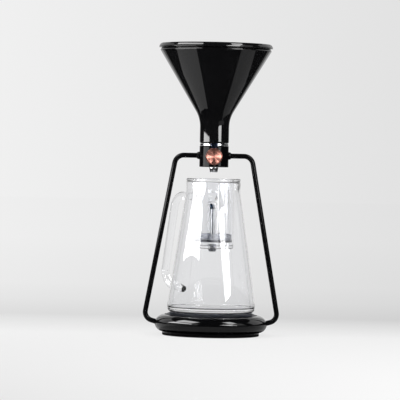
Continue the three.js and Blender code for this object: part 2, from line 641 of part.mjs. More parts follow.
function valveBody() {
  const body = turned([
    [0, VALVE_BOTTOM_Z], [VALVE_R - VALVE_EDGE, VALVE_BOTTOM_Z], [VALVE_R, VALVE_BOTTOM_Z + VALVE_EDGE],
    [VALVE_R, VALVE_TOP_Z - VALVE_EDGE], [VALVE_R - VALVE_EDGE, VALVE_TOP_Z], [0, VALVE_TOP_Z],
  ]);
  const bosses = [0, Math.PI].map((turn) => alongX(turned([
    [0, 0], [BOSS_R, 0], [BOSS_R, VALVE_R - VALVE_EDGE], [BOSS_END_R, BOSS_REACH], [0, BOSS_REACH],
  ], SMALL_SIDES), ROD_ARM_Z).rotateZ(turn));
  const rodHoles = [0, Math.PI].map((turn) =>
    alongX(disc(ROD_R + RUN, ROD_TOP_END_X - GAP, BOSS_REACH + CUT, SMALL_SIDES), ROD_ARM_Z)
      .rotateZ(turn));
  const grubHoles = [-1, 1].map((side) =>
    alongY(disc(GRUB_R + RUN, ROD_R, VALVE_R + CUT, SMALL_SIDES), ROD_ARM_Z)
      .translate(side * grubX(), 0, 0));
  const waterway = disc(BORE_R, VALVE_BOTTOM_Z - CUT, VALVE_TOP_Z + CUT, SMALL_SIDES);
  const socket = disc(SPIGOT_R, VALVE_TOP_Z - SOCKET_DEPTH, VALVE_TOP_Z + CUT, SIDES);
  const nozzleHole = disc(NOZZLE_SHANK_R + RUN, VALVE_BOTTOM_Z - CUT,
    VALVE_BOTTOM_Z + NOZZLE_SHANK_H + GAP, SMALL_SIDES);
  const plugBore = alongY(disc(PLUG_R + GAP, -VALVE_R - CUT, VALVE_R, MID_SIDES), PLUG_Z);
  const capBore = alongY(disc(REAR_CAP_R + RUN, rearCapY() - GAP, VALVE_R + CUT, MID_SIDES), PLUG_Z);
  const bores = [waterway, socket, nozzleHole, plugBore, capBore];
  return cut(join(body, ...bosses), ...bores, ...rodHoles, ...grubHoles);
}

function valvePlug() {
  const grooveR = PLUG_R - 2 * SEAL_TUBE_R - RUN;
  const grooveHalf = SEAL_TUBE_R + RUN;
  const front = KNOB_BACK_Y + GAP;
  const outline = [
    [0, KNOB_BACK_Y - KNOB_BORE_DEPTH + GAP], [plugStubR(), KNOB_BACK_Y - KNOB_BORE_DEPTH + GAP],
    [plugStubR(), front], [PLUG_R, front],
    ...[-SEAL_Y, SEAL_Y].flatMap((y) => [
      [PLUG_R, y - grooveHalf], [grooveR, y - grooveHalf],
      [grooveR, y + grooveHalf], [PLUG_R, y + grooveHalf],
    ]),
    [PLUG_R, PLUG_REAR_Y], [plugStubR(), PLUG_REAR_Y], [plugStubR(), rearCapY() + REAR_CAP_H],
    [0, rearCapY() + REAR_CAP_H],
  ];
  const crossHole = alongX(disc(PLUG_HOLE_R, -PLUG_R - CUT, PLUG_R + CUT, SMALL_SIDES), PLUG_Z);
  return cut(alongY(turned(outline, MID_SIDES), PLUG_Z), crossHole);
}

function plugSeal(y) {
  const ring = new THREE.TorusGeometry(PLUG_R - SEAL_TUBE_R, SEAL_TUBE_R, SMALL_SIDES / 2, MID_SIDES);
  return ring.rotateX(Math.PI / 2).translate(0, y, PLUG_Z);
}

function plugWasher() {
  const washer = tube(PLUG_R - GAP, plugStubR() + GAP, washerY(), washerY() + WASHER_H, MID_SIDES);
  return alongY(washer, PLUG_Z);
}

function rearCap() {
  const cap = tube(REAR_CAP_R, plugStubR() + GAP, rearCapY(), rearCapY() + REAR_CAP_H, MID_SIDES);
  return alongY(cap, PLUG_Z);
}

function grubScrew(side) {
  const start = ROD_R + GAP;
  return alongY(disc(GRUB_R, start, start + GRUB_LENGTH, SMALL_SIDES), ROD_ARM_Z)
    .translate(side * grubX(), 0, 0);
}

function funnelAdaptor() {
  return turned([
    [ADAPTOR_BORE_R, VALVE_TOP_Z - SOCKET_DEPTH + GAP], [SPIGOT_R - GAP, VALVE_TOP_Z - SOCKET_DEPTH + GAP],
    [SPIGOT_R - GAP, ADAPTOR_Z], [ADAPTOR_R, ADAPTOR_Z], [ADAPTOR_R, ADAPTOR_Z + ADAPTOR_H],
    [SPIGOT_R, ADAPTOR_Z + ADAPTOR_H], [SPIGOT_R, SPIGOT_TOP_Z], [ADAPTOR_BORE_R, SPIGOT_TOP_Z],
  ]);
}

function funnelSeal() {
  return tube(SPIGOT_R, FUNNEL_OUTLET_R, SPIGOT_TOP_Z + GAP, SPIGOT_TOP_Z + GAP + FUNNEL_SEAL_H, MID_SIDES);
}

function valveMarker() {
  const bottom = PLUG_Z + KNOB_R + GAP;
  const top = ADAPTOR_Z + ADAPTOR_H;
  const tab = new THREE.Shape();
  tab.moveTo(-MARKER_WIDTH / 2, bottom);
  tab.lineTo(MARKER_WIDTH / 2, bottom);
  tab.lineTo(MARKER_TOP_WIDTH / 2, top);
  tab.lineTo(-MARKER_TOP_WIDTH / 2, top);
  return new THREE.ExtrudeGeometry(tab, { depth: MARKER_T, bevelEnabled: false })
    .rotateX(Math.PI / 2).translate(0, -(VALVE_R + GAP), 0);
}

function nozzle() {
  const collarTop = VALVE_BOTTOM_Z - GAP;
  const slotTop = collarTop - (collarTop - NOZZLE_BOTTOM_Z) / 4;
  const turnedNozzle = turned([
    [NOZZLE_BORE_R, NOZZLE_BOTTOM_Z], [NOZZLE_R, NOZZLE_BOTTOM_Z], [NOZZLE_TOP_R, slotTop],
    [NOZZLE_TOP_R, collarTop], [NOZZLE_SHANK_R, collarTop], [NOZZLE_SHANK_R, VALVE_BOTTOM_Z + NOZZLE_SHANK_H],
    [NOZZLE_BORE_R, VALVE_BOTTOM_Z + NOZZLE_SHANK_H],
  ], MID_SIDES);
  const slots = Array.from({ length: NOZZLE_SLOTS }, (_, i) =>
    block(NOZZLE_SLOT_W, NOZZLE_SLOT_W * 2, NOZZLE_BOTTOM_Z - CUT, slotTop)
      .translate(0, NOZZLE_TOP_R, 0).rotateZ(((i + 0.5) * 2 * Math.PI) / NOZZLE_SLOTS));
  return cut(turnedNozzle, ...slots);
}

function knob() {
  const face = KNOB_R - 2 * KNOB_EDGE;
  const boreR = plugStubR() + RUN;
  const outline = [
    [0, KNOB_DISH], [face, 0], [KNOB_R - KNOB_EDGE, 0], [KNOB_R, KNOB_EDGE], [KNOB_R, KNOB_H],
    [boreR, KNOB_H], [boreR, KNOB_H - KNOB_BORE_DEPTH], [0, KNOB_H - KNOB_BORE_DEPTH],
  ];
  const screwHole = disc(SCREW_R + RUN, -KNOB_R - CUT, 0, SMALL_SIDES)
    .translate(0, knobScrewY(), PLUG_Z);
  return cut(alongY(turned(outline), PLUG_Z).translate(0, KNOB_BACK_Y - KNOB_H, 0), screwHole);
}

function knobScrew() {
  return disc(SCREW_R, -KNOB_R + KNOB_EDGE, -plugStubR() - GAP, SMALL_SIDES)
    .translate(0, knobScrewY(), PLUG_Z);
}

// Funnel
const coneR = (z) => NECK_R + (z - CONE_CORNER_Z) * CONE_SLOPE;

function funnel() {
  const filletReach = NECK_FILLET_R * Math.tan(CONE_HALF_ANGLE / 2);
  const fillet = Array.from({ length: ARC_STEPS + 1 }, (_, i) => {
    const angle = (CONE_HALF_ANGLE * i) / ARC_STEPS;
    return [
      NECK_R + NECK_FILLET_R * (1 - Math.cos(angle)),
      CONE_CORNER_Z - filletReach + NECK_FILLET_R * Math.sin(angle),
    ];
  });
  const lipZ = FUNNEL_TOP_Z - LIP_H;
  const shoulderZ = lipZ - LIP_GROOVE_H - SHOULDER_H;
  const round = LIP_WIDTH / 4;
  const innerTopZ = FUNNEL_TOP_Z - LIP_WIDTH / 2;
  const innerDrop = FUNNEL_WALL / Math.sin(CONE_HALF_ANGLE);
  const innerR = (z) => coneR(z - innerDrop);
  const outletTopZ = CONE_CORNER_Z + innerDrop - (NECK_R - FUNNEL_OUTLET_R) / CONE_SLOPE;
  return turned([
    [NECK_R, FUNNEL_Z], ...fillet, [coneR(shoulderZ), shoulderZ], [SHOULDER_R, lipZ - LIP_GROOVE_H - round],
    [SHOULDER_R - round, lipZ - LIP_GROOVE_H],
    [LIP_GROOVE_R, lipZ - LIP_GROOVE_H / 2], [SHOULDER_R, lipZ], [FUNNEL_R - round, lipZ],
    [FUNNEL_R, lipZ + round], [FUNNEL_R, FUNNEL_TOP_Z - 2 * round],
    [FUNNEL_R - round, FUNNEL_TOP_Z - round / 2], [FUNNEL_R - 2 * round, FUNNEL_TOP_Z],
    [FUNNEL_R - LIP_WIDTH + round, FUNNEL_TOP_Z - round / 2], [innerR(innerTopZ), innerTopZ],
    [FUNNEL_OUTLET_R, outletTopZ], [FUNNEL_OUTLET_R, FUNNEL_SEAT_Z],
    [SPIGOT_R + GAP, FUNNEL_SEAT_Z], [SPIGOT_R + GAP, FUNNEL_Z],
  ]);
}

// Jug
function jugOutline(grow) {
  const slope = (JUG_R - JUG_NECK_R) / (JUG_NECK_BOTTOM_Z - JUG_BULGE_Z);
  const bottomZ = JUG_Z - grow;
  const r = JUG_R + grow;
  const cornerTopZ = JUG_BULGE_Z - JUG_CORNER_R * CORNER_DROP_SHARE;
  const corner = bulge(r - JUG_CORNER_R, bottomZ, r, cornerTopZ, ROUND_POWER, INNER_ARC_STEPS, false);
  const coneAt = (z) => JUG_NECK_R + grow + (JUG_NECK_BOTTOM_Z - z) * slope;
  const softness = JUG_CORNER_R;
  return [
    ...corner, [coneAt(JUG_BULGE_Z + softness), JUG_BULGE_Z + softness],
    [coneAt(SPOUT_BOTTOM_Z), SPOUT_BOTTOM_Z],
    [coneAt(JUG_NECK_BOTTOM_Z - softness), JUG_NECK_BOTTOM_Z - softness],
    [JUG_NECK_R + grow + slope * softness / 4, JUG_NECK_BOTTOM_Z],
    [JUG_NECK_R + grow, JUG_NECK_BOTTOM_Z + softness / 2],
  ];
}

function pullSpout(geometry) {
  const place = geometry.attributes.position;
  for (let i = 0; i < place.count; i++) {
    const [x, y, z] = [place.getX(i), place.getY(i), place.getZ(i)];
    const rise = Math.max((z - SPOUT_BOTTOM_Z) / (JUG_TOP_Z - SPOUT_BOTTOM_Z), 0);
    const away = Math.atan2(y, x) - SPOUT_TURN;
    const turn = Math.atan2(Math.sin(away), Math.cos(away)) / SPOUT_HALF_WIDTH;
    const pull = SPOUT_REACH * rise * rise * Math.exp(-turn * turn);
    const r = Math.hypot(x, y);
    if (r > 0) place.setXYZ(i, x * (1 + pull / r), y * (1 + pull / r), z);
  }
  return geometry;
}

function jugGlass() {
  const outside = jugOutline(0);
  const inside = jugOutline(-JUG_WALL).reverse();
  const rimRound = JUG_WALL / 3;
  const neckTop = JUG_TOP_Z - rimRound;
  const neckStart = outside[outside.length - 1][1];
  const neck = (r, down) => {
    const rings = Array.from({ length: SPOUT_RINGS }, (_, i) =>
      [r, neckStart + ((i + 1) * (neckTop - neckStart)) / SPOUT_RINGS]);
    return down ? rings.reverse() : rings;
  };
  return pullSpout(turned([
    [0, JUG_Z], ...outside, ...neck(JUG_NECK_R, false),
    [JUG_NECK_R - rimRound, JUG_TOP_Z], [JUG_NECK_R - JUG_WALL + rimRound, JUG_TOP_Z],
    ...neck(JUG_NECK_R - JUG_WALL, true), ...inside, [0, JUG_Z + JUG_WALL],
  ]));
}

function jugHandle() {
  const inWall = JUG_NECK_R / 2;
  const endSlope = HANDLE_FOOT_SLOPE * HANDLE_END_SLOPE_SHARE;
  const corners = [
    new THREE.Vector3(inWall, 0, HANDLE_UPPER_Z),
    new THREE.Vector3(HANDLE_UPPER_REACH, 0, HANDLE_UPPER_Z),
    new THREE.Vector3(HANDLE_LOWER_REACH, 0, HANDLE_CORNER_Z),
    new THREE.Vector3(HANDLE_ROOT_R, 0, HANDLE_LOWER_Z),
    new THREE.Vector3(inWall, 0, HANDLE_LOWER_Z - (HANDLE_ROOT_R - inWall) * endSlope),
  ];
  const bends = [HANDLE_UPPER_BEND_R, HANDLE_LOWER_BEND_R, HANDLE_LOWER_BEND_R];
  const line = new BentLine(corners, bends, BEND_STEPS);
  const bar = bentBar(HANDLE_R, line, ROD_SIDES).rotateZ(HANDLE_TURN);
  const neckEdge = [JUG_NECK_R + GAP, JUG_TOP_Z];
  const filled = turned([[0, JUG_Z], ...jugOutline(GAP), neckEdge, [0, JUG_TOP_Z]]);
  return cut(bar, filled);
}

// Drip chamber and strainer
function chamberGlass() {
  const top = FLANGE_Z + FLANGE_H;
  const floorZ = CHAMBER_BOTTOM_Z + CHAMBER_FLOOR;
  const round = FLANGE_H / 4;
  return turned([
    [TIP_SHANK_R + GAP, CHAMBER_BOTTOM_Z], [CHAMBER_R - round, CHAMBER_BOTTOM_Z],
    [CHAMBER_R, CHAMBER_BOTTOM_Z + round], [CHAMBER_R, FLANGE_Z], [FLANGE_R - round, FLANGE_Z],
    [FLANGE_R, FLANGE_Z + round], [FLANGE_R, top - round], [FLANGE_R - round, top],
    [CHAMBER_INNER_R + round, top], [CHAMBER_INNER_R, top - round],
    [CHAMBER_INNER_R, floorZ], [TIP_SHANK_R + GAP, floorZ],
  ]);
}

function dripTip() {
  const seat = CHAMBER_BOTTOM_Z - GAP;
  const shankTop = tipNutZ() + TIP_FLANGE_H + GAP;
  return turned([
    [TIP_BORE_R, seat - TIP_LENGTH], [TIP_R * TIP_TAPER_SHARE, seat - TIP_LENGTH],
    [TIP_R, seat - TIP_FLANGE_H], [TIP_R, seat], [TIP_SHANK_R, seat], [TIP_SHANK_R, shankTop],
    [TIP_BORE_R, shankTop],
  ], MID_SIDES);
}

const tipNutZ = () => CHAMBER_BOTTOM_Z + CHAMBER_FLOOR + GAP;

function tipNut() {
  return tube(TIP_R, TIP_SHANK_R + GAP, tipNutZ(), tipNutZ() + TIP_FLANGE_H, MID_SIDES);
}

function strainerCup() {
  const top = STRAINER_FLOOR_Z + STRAINER_WALL_H;
  const cup = turned([
    [STEM_R + RUN, STRAINER_FLOOR_Z], [STRAINER_R, STRAINER_FLOOR_Z], [STRAINER_R, top],
    [STRAINER_R - STRAINER_T, top], [STRAINER_R - STRAINER_T, STRAINER_FLOOR_Z + STRAINER_T],
    [STEM_R + RUN, STRAINER_FLOOR_Z + STRAINER_T],
  ], MID_SIDES);
  const holes = Array.from({ length: STRAINER_HOLES }, (_, i) =>
    alongY(disc(STRAINER_HOLE_R, STRAINER_R - 2 * STRAINER_T, STRAINER_R + STRAINER_T, SMALL_SIDES / 2),
      (STRAINER_FLOOR_Z + STRAINER_T + top) / 2).rotateZ(((i + 0.5) * 2 * Math.PI) / STRAINER_HOLES));
  return cut(cup, ...holes);
}

function strainerSeal() {
  const outer = CHAMBER_INNER_R - GAP;
  const top = STRAINER_FLOOR_Z - GAP;
  return tube(outer, outer - STRAINER_SEAL_WIDTH, top - STRAINER_SEAL_H, top, MID_SIDES);
}

const stemFlangeR = () => 2 * STEM_R;
const stemNutH = () => STEM_R * STEM_NUT_SHARE;

function strainerStem() {
  const flangeZ = STRAINER_FLOOR_Z + STRAINER_T + GAP;
  return turned([
    [0, STRAINER_FLOOR_Z - GAP - stemNutH()], [STEM_R, STRAINER_FLOOR_Z - GAP - stemNutH()],
    [STEM_R, flangeZ], [stemFlangeR(), flangeZ], [stemFlangeR(), flangeZ + STRAINER_T],
    [STEM_R, flangeZ + 2 * STRAINER_T], [STEM_R, STEM_TOP_Z], [0, STEM_TOP_Z],
  ], MID_SIDES);
}

function stemNut() {
  const top = STRAINER_FLOOR_Z - GAP;
  const nutR = stemFlangeR() * STEM_NUT_SHARE + STEM_R * (1 - STEM_NUT_SHARE);
  return tube(nutR, STEM_R + GAP, top - stemNutH(), top, SMALL_SIDES);
}

function stemCap() {
  const bottom = STEM_TOP_Z + GAP;
  const round = STEM_CAP_R / 4;
  return turned([
    [0, bottom], [STEM_CAP_R, bottom], [STEM_CAP_R, bottom + STEM_CAP_H - round],
    [STEM_CAP_R - round, bottom + STEM_CAP_H], [0, bottom + STEM_CAP_H],
  ], MID_SIDES);
}

// The assembly, from the table up
add("foot_ring", footRing(), rubber);
add("base_plate", basePlate(), alloy);
add("base_shell", baseShell(), blackPlastic);
screwPlaces().forEach(([x, y], i) =>
  add("housing_screw_" + (i + 1),
    screw(HOUSING_SCREW_LENGTH - SCREW_HEAD_H).translate(x, y, PLATE_Z), steel));
add("battery_door", batteryDoor(), innerPlastic);
add("power_button", powerButton(), innerPlastic);
add("battery_holder", batteryHolder(), innerPlastic);
[-1, 1].forEach((side, i) => {
  const word = ["front", "rear"][i];
  const turn = side > 0 ? Math.PI : 0;
  const y = BATTERY_Y + side * BATTERY_PITCH / 2;
  add("battery_" + word, battery().rotateZ(turn).translate(0, y, BATTERY_Z), batteryWrap);
  add("battery_contact_" + ["left", "right"][i], batteryContact(side), steel);
});
add("load_cell_spacer", cellSpacer(), alloy);
add("load_cell", loadCell(), alloy);
cellScrewPlaces(-1).forEach((x, i) =>
  add("cell_screw_" + (i + 1), screw(CELL_SCREW_LENGTH).translate(x, 0, PLATE_Z), steel));
add("platform_carrier", platformCarrier(), alloy);
cellScrewPlaces(1).forEach((x, i) =>
  add("carrier_screw_" + (i + 1), screw(CELL_SCREW_LENGTH + CELL_SPACER_H).rotateX(Math.PI)
    .translate(x, 0, PLATFORM_Z - 2 * GAP), steel));
add("weighing_platform", platform(), blackPlastic);
add("circuit_board", circuitBoard(), boardGreen);
boardScrewPlaces().forEach(([x, y], i) =>
  add("board_screw_" + (i + 1), boardScrew().translate(x, y, 0), steel));
add("radio_can", block(CAN_SIZE, CAN_SIZE, BOARD_TOP_Z + GAP, BOARD_TOP_Z + GAP + CAN_H)
  .translate(-BOARD_LENGTH / 4, BOARD_Y, 0), steel);
add("processor_chip", block(CHIP_SIZE, CHIP_SIZE, BOARD_TOP_Z + GAP, BOARD_TOP_Z + GAP + CHIP_H)
  .translate(BOARD_LENGTH / 8, BOARD_Y, 0), innerPlastic);
add("tact_switch", block(SWITCH_SIZE, SWITCH_SIZE, BOARD_Z - GAP - SWITCH_H, BOARD_Z - GAP)
  .translate(BUTTON_X, BUTTON_Y, 0), innerPlastic);
[[-1, "left"], [1, "right"]].forEach(([side, word]) => {
  add(word + "_rod", rod(side), blackEnamel);
  add(word + "_rod_anchor", rodAnchor(side), alloy);
  add(word + "_anchor_screw", anchorScrew(side), steel);
  add(word + "_rod_grub_screw", grubScrew(side), steel);
});
add("valve_body", valveBody(), blackEnamel);
add("nozzle", nozzle(), steel);
add("funnel_adaptor", funnelAdaptor(), steel);
add("funnel_seal", funnelSeal(), silicone);
add("valve_marker", valveMarker(), darkChrome);
add("plug_washer", plugWasher(), steel);
add("rear_cap", rearCap(), blackEnamel);
add("valve_plug", valvePlug(), steel);
add("plug_seal_front", plugSeal(-SEAL_Y), silicone);
add("plug_seal_rear", plugSeal(SEAL_Y), silicone);
add("knob", knob(), copper);
add("knob_screw", knobScrew(), steel);
add("funnel", funnel(), blackGlaze);
add("jug", jugGlass(), glass);
add("jug_handle", jugHandle(), glass);
add("drip_chamber", chamberGlass(), glass);
add("drip_tip", dripTip(), darkChrome);
add("tip_nut", tipNut(), darkChrome);
add("strainer_cup", strainerCup(), steel);
add("strainer_seal", strainerSeal(), rubber);
add("strainer_stem", strainerStem(), steel);
add("stem_nut", stemNut(), steel);
add("stem_cap", stemCap(), darkChrome);

export default part;
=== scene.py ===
# The look of a pour-over coffee dripper: weighing base, rod frame, plug valve, glazed funnel and glass jug.
# Shapes are worked out in millimetres and made in metres; the knob faces -Y.
import json
import math
import bmesh
import bpy
from mathutils import Matrix, Vector

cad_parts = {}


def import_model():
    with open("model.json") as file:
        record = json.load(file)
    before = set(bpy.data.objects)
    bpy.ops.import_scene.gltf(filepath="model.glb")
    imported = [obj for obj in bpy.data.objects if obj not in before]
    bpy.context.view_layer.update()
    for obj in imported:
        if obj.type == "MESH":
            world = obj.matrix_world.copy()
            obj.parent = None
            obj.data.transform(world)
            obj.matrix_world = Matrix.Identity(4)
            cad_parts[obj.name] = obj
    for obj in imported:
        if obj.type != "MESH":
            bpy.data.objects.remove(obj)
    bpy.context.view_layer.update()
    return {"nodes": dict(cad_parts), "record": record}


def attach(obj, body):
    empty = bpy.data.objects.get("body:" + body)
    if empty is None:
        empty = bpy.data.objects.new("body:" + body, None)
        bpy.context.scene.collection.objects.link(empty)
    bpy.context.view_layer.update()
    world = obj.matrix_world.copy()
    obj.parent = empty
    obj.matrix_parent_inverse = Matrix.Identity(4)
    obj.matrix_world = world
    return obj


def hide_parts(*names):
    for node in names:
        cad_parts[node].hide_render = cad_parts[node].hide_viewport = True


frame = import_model()
MM = 0.001
TURN = 2 * math.pi

# How finely round shapes are cut, with lengths in millimetres
FINE_SIDES = 128
SIDES = 96
SMALL_SIDES = 48
BAR_SIDES = 28
ARC_STEPS = 8
ARC_RUN = 1.2
RUN_SHARE = 0.499
SHARP_ANGLE = math.radians(38)
LONG_RUN = 1.5
HOLD = 0.2
RUN_STEP = 4
BEVEL_STEPS = 3

# Within these distances, in metres, a level is flat and vertices are one
FLAT = 1e-7
WELD = 1e-6
TILE_WELD = 1e-5

# Clearance between pieces, in millimetres
GAP = 0.3

# Base, in millimetres
SHELL_R = 85.2
SHELL_BULGE_Z = 18.5
SHELL_BOTTOM_Z = 5.6
SHELL_LOWER_R = 74.4
SHELL_TOP_Z = 31
SHELL_OPENING_R = 70.4
SHELL_WALL = 2.6
SHELL_LOWER_POWER = 2
SHELL_UPPER_POWER = 1.75
SHELL_STEPS = 20
SHELL_EDGE = 0.6
PLATFORM_R = 69.2
PLATFORM_TOP_R = 61.2
PLATFORM_BOTTOM_Z = 29.5
PLATFORM_TOP_Z = 34.5
PLATFORM_LIP = 2.5
FOOT_R = 73.4
FOOT_WIDTH = 9
FOOT_H = 3
FOOT_GROOVE = 0.6

# Rod frame
ROD_R = 3.8
ROD_ARM_Z = 272
ROD_ARM_CORNER_X = 57.2
ROD_FOOT_CORNER_X = 101.38
ROD_FOOT_CORNER_Z = 24.1
ROD_ENTRY_SLOPE = 0.268
ROD_UPPER_BEND_R = 14
ROD_LOWER_BEND_R = 13
ROD_TOP_END_X = 15.5
ROD_FOOT_END_X = 67.2

# Valve
VALVE_R = 22.1
VALVE_BOTTOM_Z = 254.7
VALVE_TOP_Z = 287
VALVE_EDGE = 1
BOSS_R = 5.9
BOSS_END_R = 5
BOSS_REACH = 25.6
BOSS_ROOT_X = 15
PLUG_Z = 270.5
KNOB_R = 12.6
KNOB_BACK_Y = -22.4
KNOB_H = 9
KNOB_EDGE = 0.7
KNOB_DISH = 0.5
KNOB_GROOVES = 26
KNOB_GROOVE_DEPTH = 0.12
KNOB_BORE_R = 4.1
KNOB_BORE_DEPTH = 6
ADAPTOR_R = 21.7
ADAPTOR_BOTTOM_Z = 282.3
ADAPTOR_Z = 287.3
ADAPTOR_H = 2.8
SPIGOT_R = 15
SPIGOT_TOP_Z = 303.4
ADAPTOR_BORE_R = 6
MARKER_TOP_HALF = 5.2
MARKER_HALF = 3.7
MARKER_BOTTOM_Z = 283.4
MARKER_TOP_Z = 290.1
MARKER_T = 1.4
MARKER_EDGE = 0.35
NOZZLE_TOP_R = 6.8
NOZZLE_R = 5.6
NOZZLE_BOTTOM_Z = 247
NOZZLE_COLLAR_Z = 253.05
NOZZLE_TOP_Z = 254.4
NOZZLE_BORE_R = 2.2
NOZZLE_FINGERS = 8
FINGER_STEPS = 8
NOZZLE_SLOT_SHARE = 0.3

# Funnel
NECK_R = 22.2
FUNNEL_BOTTOM_Z = 290.4
CONE_CORNER_Z = 328.2
NECK_FILLET_R = 46
FUNNEL_TOP_Z = 441
FUNNEL_R = 86.2
LIP_Z = 434.4
LIP_GROOVE_R = 82.2
LIP_GROOVE_H = 1.2
SHOULDER_R = 84.4
SHOULDER_H = 3.6
LIP_WIDTH = 4.6
LIP_FACET_Z = 437
LIP_FACET_TOP_Z = 439.3
LIP_LEAN = 1.2
LIP_CREST_R = 83.5
BEAD_Z = 430.8
BEAD_LEAN = 1.2
CONE_SLOPE = math.tan(0.5446)
FUNNEL_WALL = 6
FUNNEL_SEAT_Z = 306.4
FUNNEL_OUTLET_R = 8
FUNNEL_SOCKET_R = 15.3

# Jug
JUG_BOTTOM_Z = 34.8
JUG_TOP_Z = 232.4
JUG_NECK_R = 41.2
JUG_NECK_Z = 217
JUG_R = 66.6
JUG_BULGE_Z = 47.5
JUG_CORNER_R = 9
JUG_BULGE_R = 12
JUG_SHOULDER_R = 30
JUG_RIM_R = 1
JUG_FOOT_DRAW = 0.6
JUG_SLOPE = (JUG_R - JUG_NECK_R) / (JUG_NECK_Z - JUG_BULGE_Z)
JUG_FLOOR_Z = 41.8
JUG_FLOOR_CORNER_R = 2.6
JUG_WALL = 2.2
GLASS_STEP = 2.6
SPOUT_REACH = 14
SPOUT_BOTTOM_Z = 186
SPOUT_TURN = -1
SPOUT_HALF_WIDTH = 0.46
HANDLE_R = 6.2
HANDLE_DRAW_SHARE = 0.2
HANDLE_ROOT_SHARE = 0.022
HANDLE_TURN = 2.32
HANDLE_UPPER_Z = 210
HANDLE_CORNER_Z = 76
HANDLE_LOWER_Z = 67
HANDLE_UPPER_REACH = 83
HANDLE_LOWER_REACH = 108
HANDLE_UPPER_BEND_R = 20
HANDLE_LOWER_BEND_R = 24

# Drip chamber and strainer
CHAMBER_R = 32
CHAMBER_WALL = 1.8
CHAMBER_BOTTOM_Z = 131.5
CHAMBER_FLOOR = 4
FLANGE_Z = 232.7
FLANGE_H = 4.8
FLANGE_R = 41
TIP_R = 6
TIP_END_R = 5.04
TIP_BOTTOM_Z = 126.8
TIP_FLANGE_Z = 129.6
TIP_TOP_Z = 137.7
TIP_SHANK_R = 4
TIP_BORE_R = 1.6
STRAINER_R = 29
STRAINER_FLOOR_Z = 145
STRAINER_T = 1
STRAINER_TOP_Z = 153.6
STRAINER_TILES = 56
STRAINER_HOLE_R = 1.05
HOLE_SIDES = 16
SEAL_BOTTOM_Z = 141.3
SEAL_TOP_Z = 144.7
SEAL_R = 29.9
SEAL_WIDTH = 3.6
STEM_R = 3.4
STEM_PLAY = 0.25
STEM_BOTTOM_Z = 142.32
STEM_TOP_Z = 191
STEM_FLANGE_R = 6.8
STEM_CAP_R = 4.1
STEM_CAP_Z = 191.3
STEM_CAP_TOP_Z = 198.3
STEM_CAP_FLUTES = 10
STEM_CAP_FLUTE_SHARE = 0.06


# Nodes

def rgb(red, green, blue):
    return (red, green, blue, 1)


class Wire:
    """A socket whose operators add Math nodes to its tree."""

    def __init__(self, nodes, socket):
        self.nodes = nodes
        self.socket = socket

    def maths(self, operation, *others):
        return self.nodes.add("ShaderNodeMath", {"operation": operation}, dict(enumerate((self, *others))))

    def __add__(self, other):
        return self.maths("ADD", other)

    __radd__ = __add__

    def __mul__(self, other):
        return self.maths("MULTIPLY", other)

    __rmul__ = __mul__

    def __sub__(self, other):
        return self.maths("SUBTRACT", other)

    def __rsub__(self, other):
        return self.nodes.add("ShaderNodeMath", {"operation": "SUBTRACT"}, {0: other, 1: self})

    def __truediv__(self, other):
        return self.maths("DIVIDE", other)

    def __gt__(self, other):
        return self.maths("GREATER_THAN", other)


def set_stops(ramp, stops):
    """Gives a ramp its stops of a position and a grey each."""
    while len(ramp.elements) < len(stops):
        ramp.elements.new(1)
    for element, (position, grey) in zip(ramp.elements, stops):
        element.position = position
        element.color = rgb(grey, grey, grey)


class Nodes:
    """A node tree that is built node by node."""

    def __init__(self, tree):
        self.tree = tree
        tree.nodes.clear()

    def add(self, kind, settings=None, inputs=None, output=0):
        node = self.tree.nodes.new(kind)
        for key, value in (settings or {}).items():
            if key == "stops":
                set_stops(node.color_ramp, value)
            else:
                setattr(node, key, value)
        for key, value in (inputs or {}).items():
            if isinstance(value, Wire):
                self.tree.links.new(value.socket, node.inputs[key])
            else:
                node.inputs[key].default_value = value
        return Wire(self, node.outputs[output])


class Tree(Nodes):
    """A Geometry Nodes tree with inputs for a mesh, a whole number and a finish."""

    def __init__(self, name, number):
        super().__init__(bpy.data.node_groups.new(name, "GeometryNodeTree"))
        for label, way, kind in (("Geometry", "INPUT", "Geometry"), (number, "INPUT", "Int"),
                                 ("Finish", "INPUT", "Material"), ("Geometry", "OUTPUT", "Geometry")):
            self.tree.interface.new_socket(label, in_out=way, socket_type="NodeSocket" + kind)
        start = self.tree.nodes.new("NodeGroupInput")
        self.mesh, self.number, self.finish = [Wire(self, start.outputs[i]) for i in range(3)]

    def end(self, geometry, weld):
        """Makes copies real, welds their seams and sets the finish."""
        real = self.add("GeometryNodeRealizeInstances", inputs={0: geometry})
        welded = self.add("GeometryNodeMergeByDistance", inputs={"Geometry": real, "Distance": weld})
        real = self.add("GeometryNodeRealizeInstances", inputs={0: welded})
        coat = self.add("GeometryNodeSetMaterial", inputs={"Geometry": real, "Material": self.finish})
        self.tree.links.new(coat.socket, self.tree.nodes.new("NodeGroupOutput").inputs[0])
        return self.tree


def turning_tree():
    """Turns a row of outline vertices about Z: a grid with a column for each turn, a row for each vertex."""
    tree = Tree("turned_piece", "Sides")
    count = tree.add("GeometryNodeAttributeDomainSize", {"component": "MESH"}, {"Geometry": tree.mesh},
                     "Point Count")
    grid = tree.add("GeometryNodeMeshGrid", inputs={"Vertices X": tree.number + 1, "Vertices Y": count})
    index = tree.add("GeometryNodeInputIndex")
    column = (index / count).maths("FLOOR")
    found = tree.add("GeometryNodeSampleIndex", {"data_type": "FLOAT_VECTOR"}, {
        "Geometry": tree.mesh, "Value": tree.add("GeometryNodeInputPosition"),
        "Index": index.maths("MODULO", count)})
    place = tree.add("ShaderNodeVectorRotate", {"rotation_type": "Z_AXIS"},
                     {"Vector": found, "Angle": column * TURN / tree.number})
    bent = tree.add("GeometryNodeSetPosition", inputs={"Geometry": grid, "Position": place})
    return tree.end(bent, WELD)


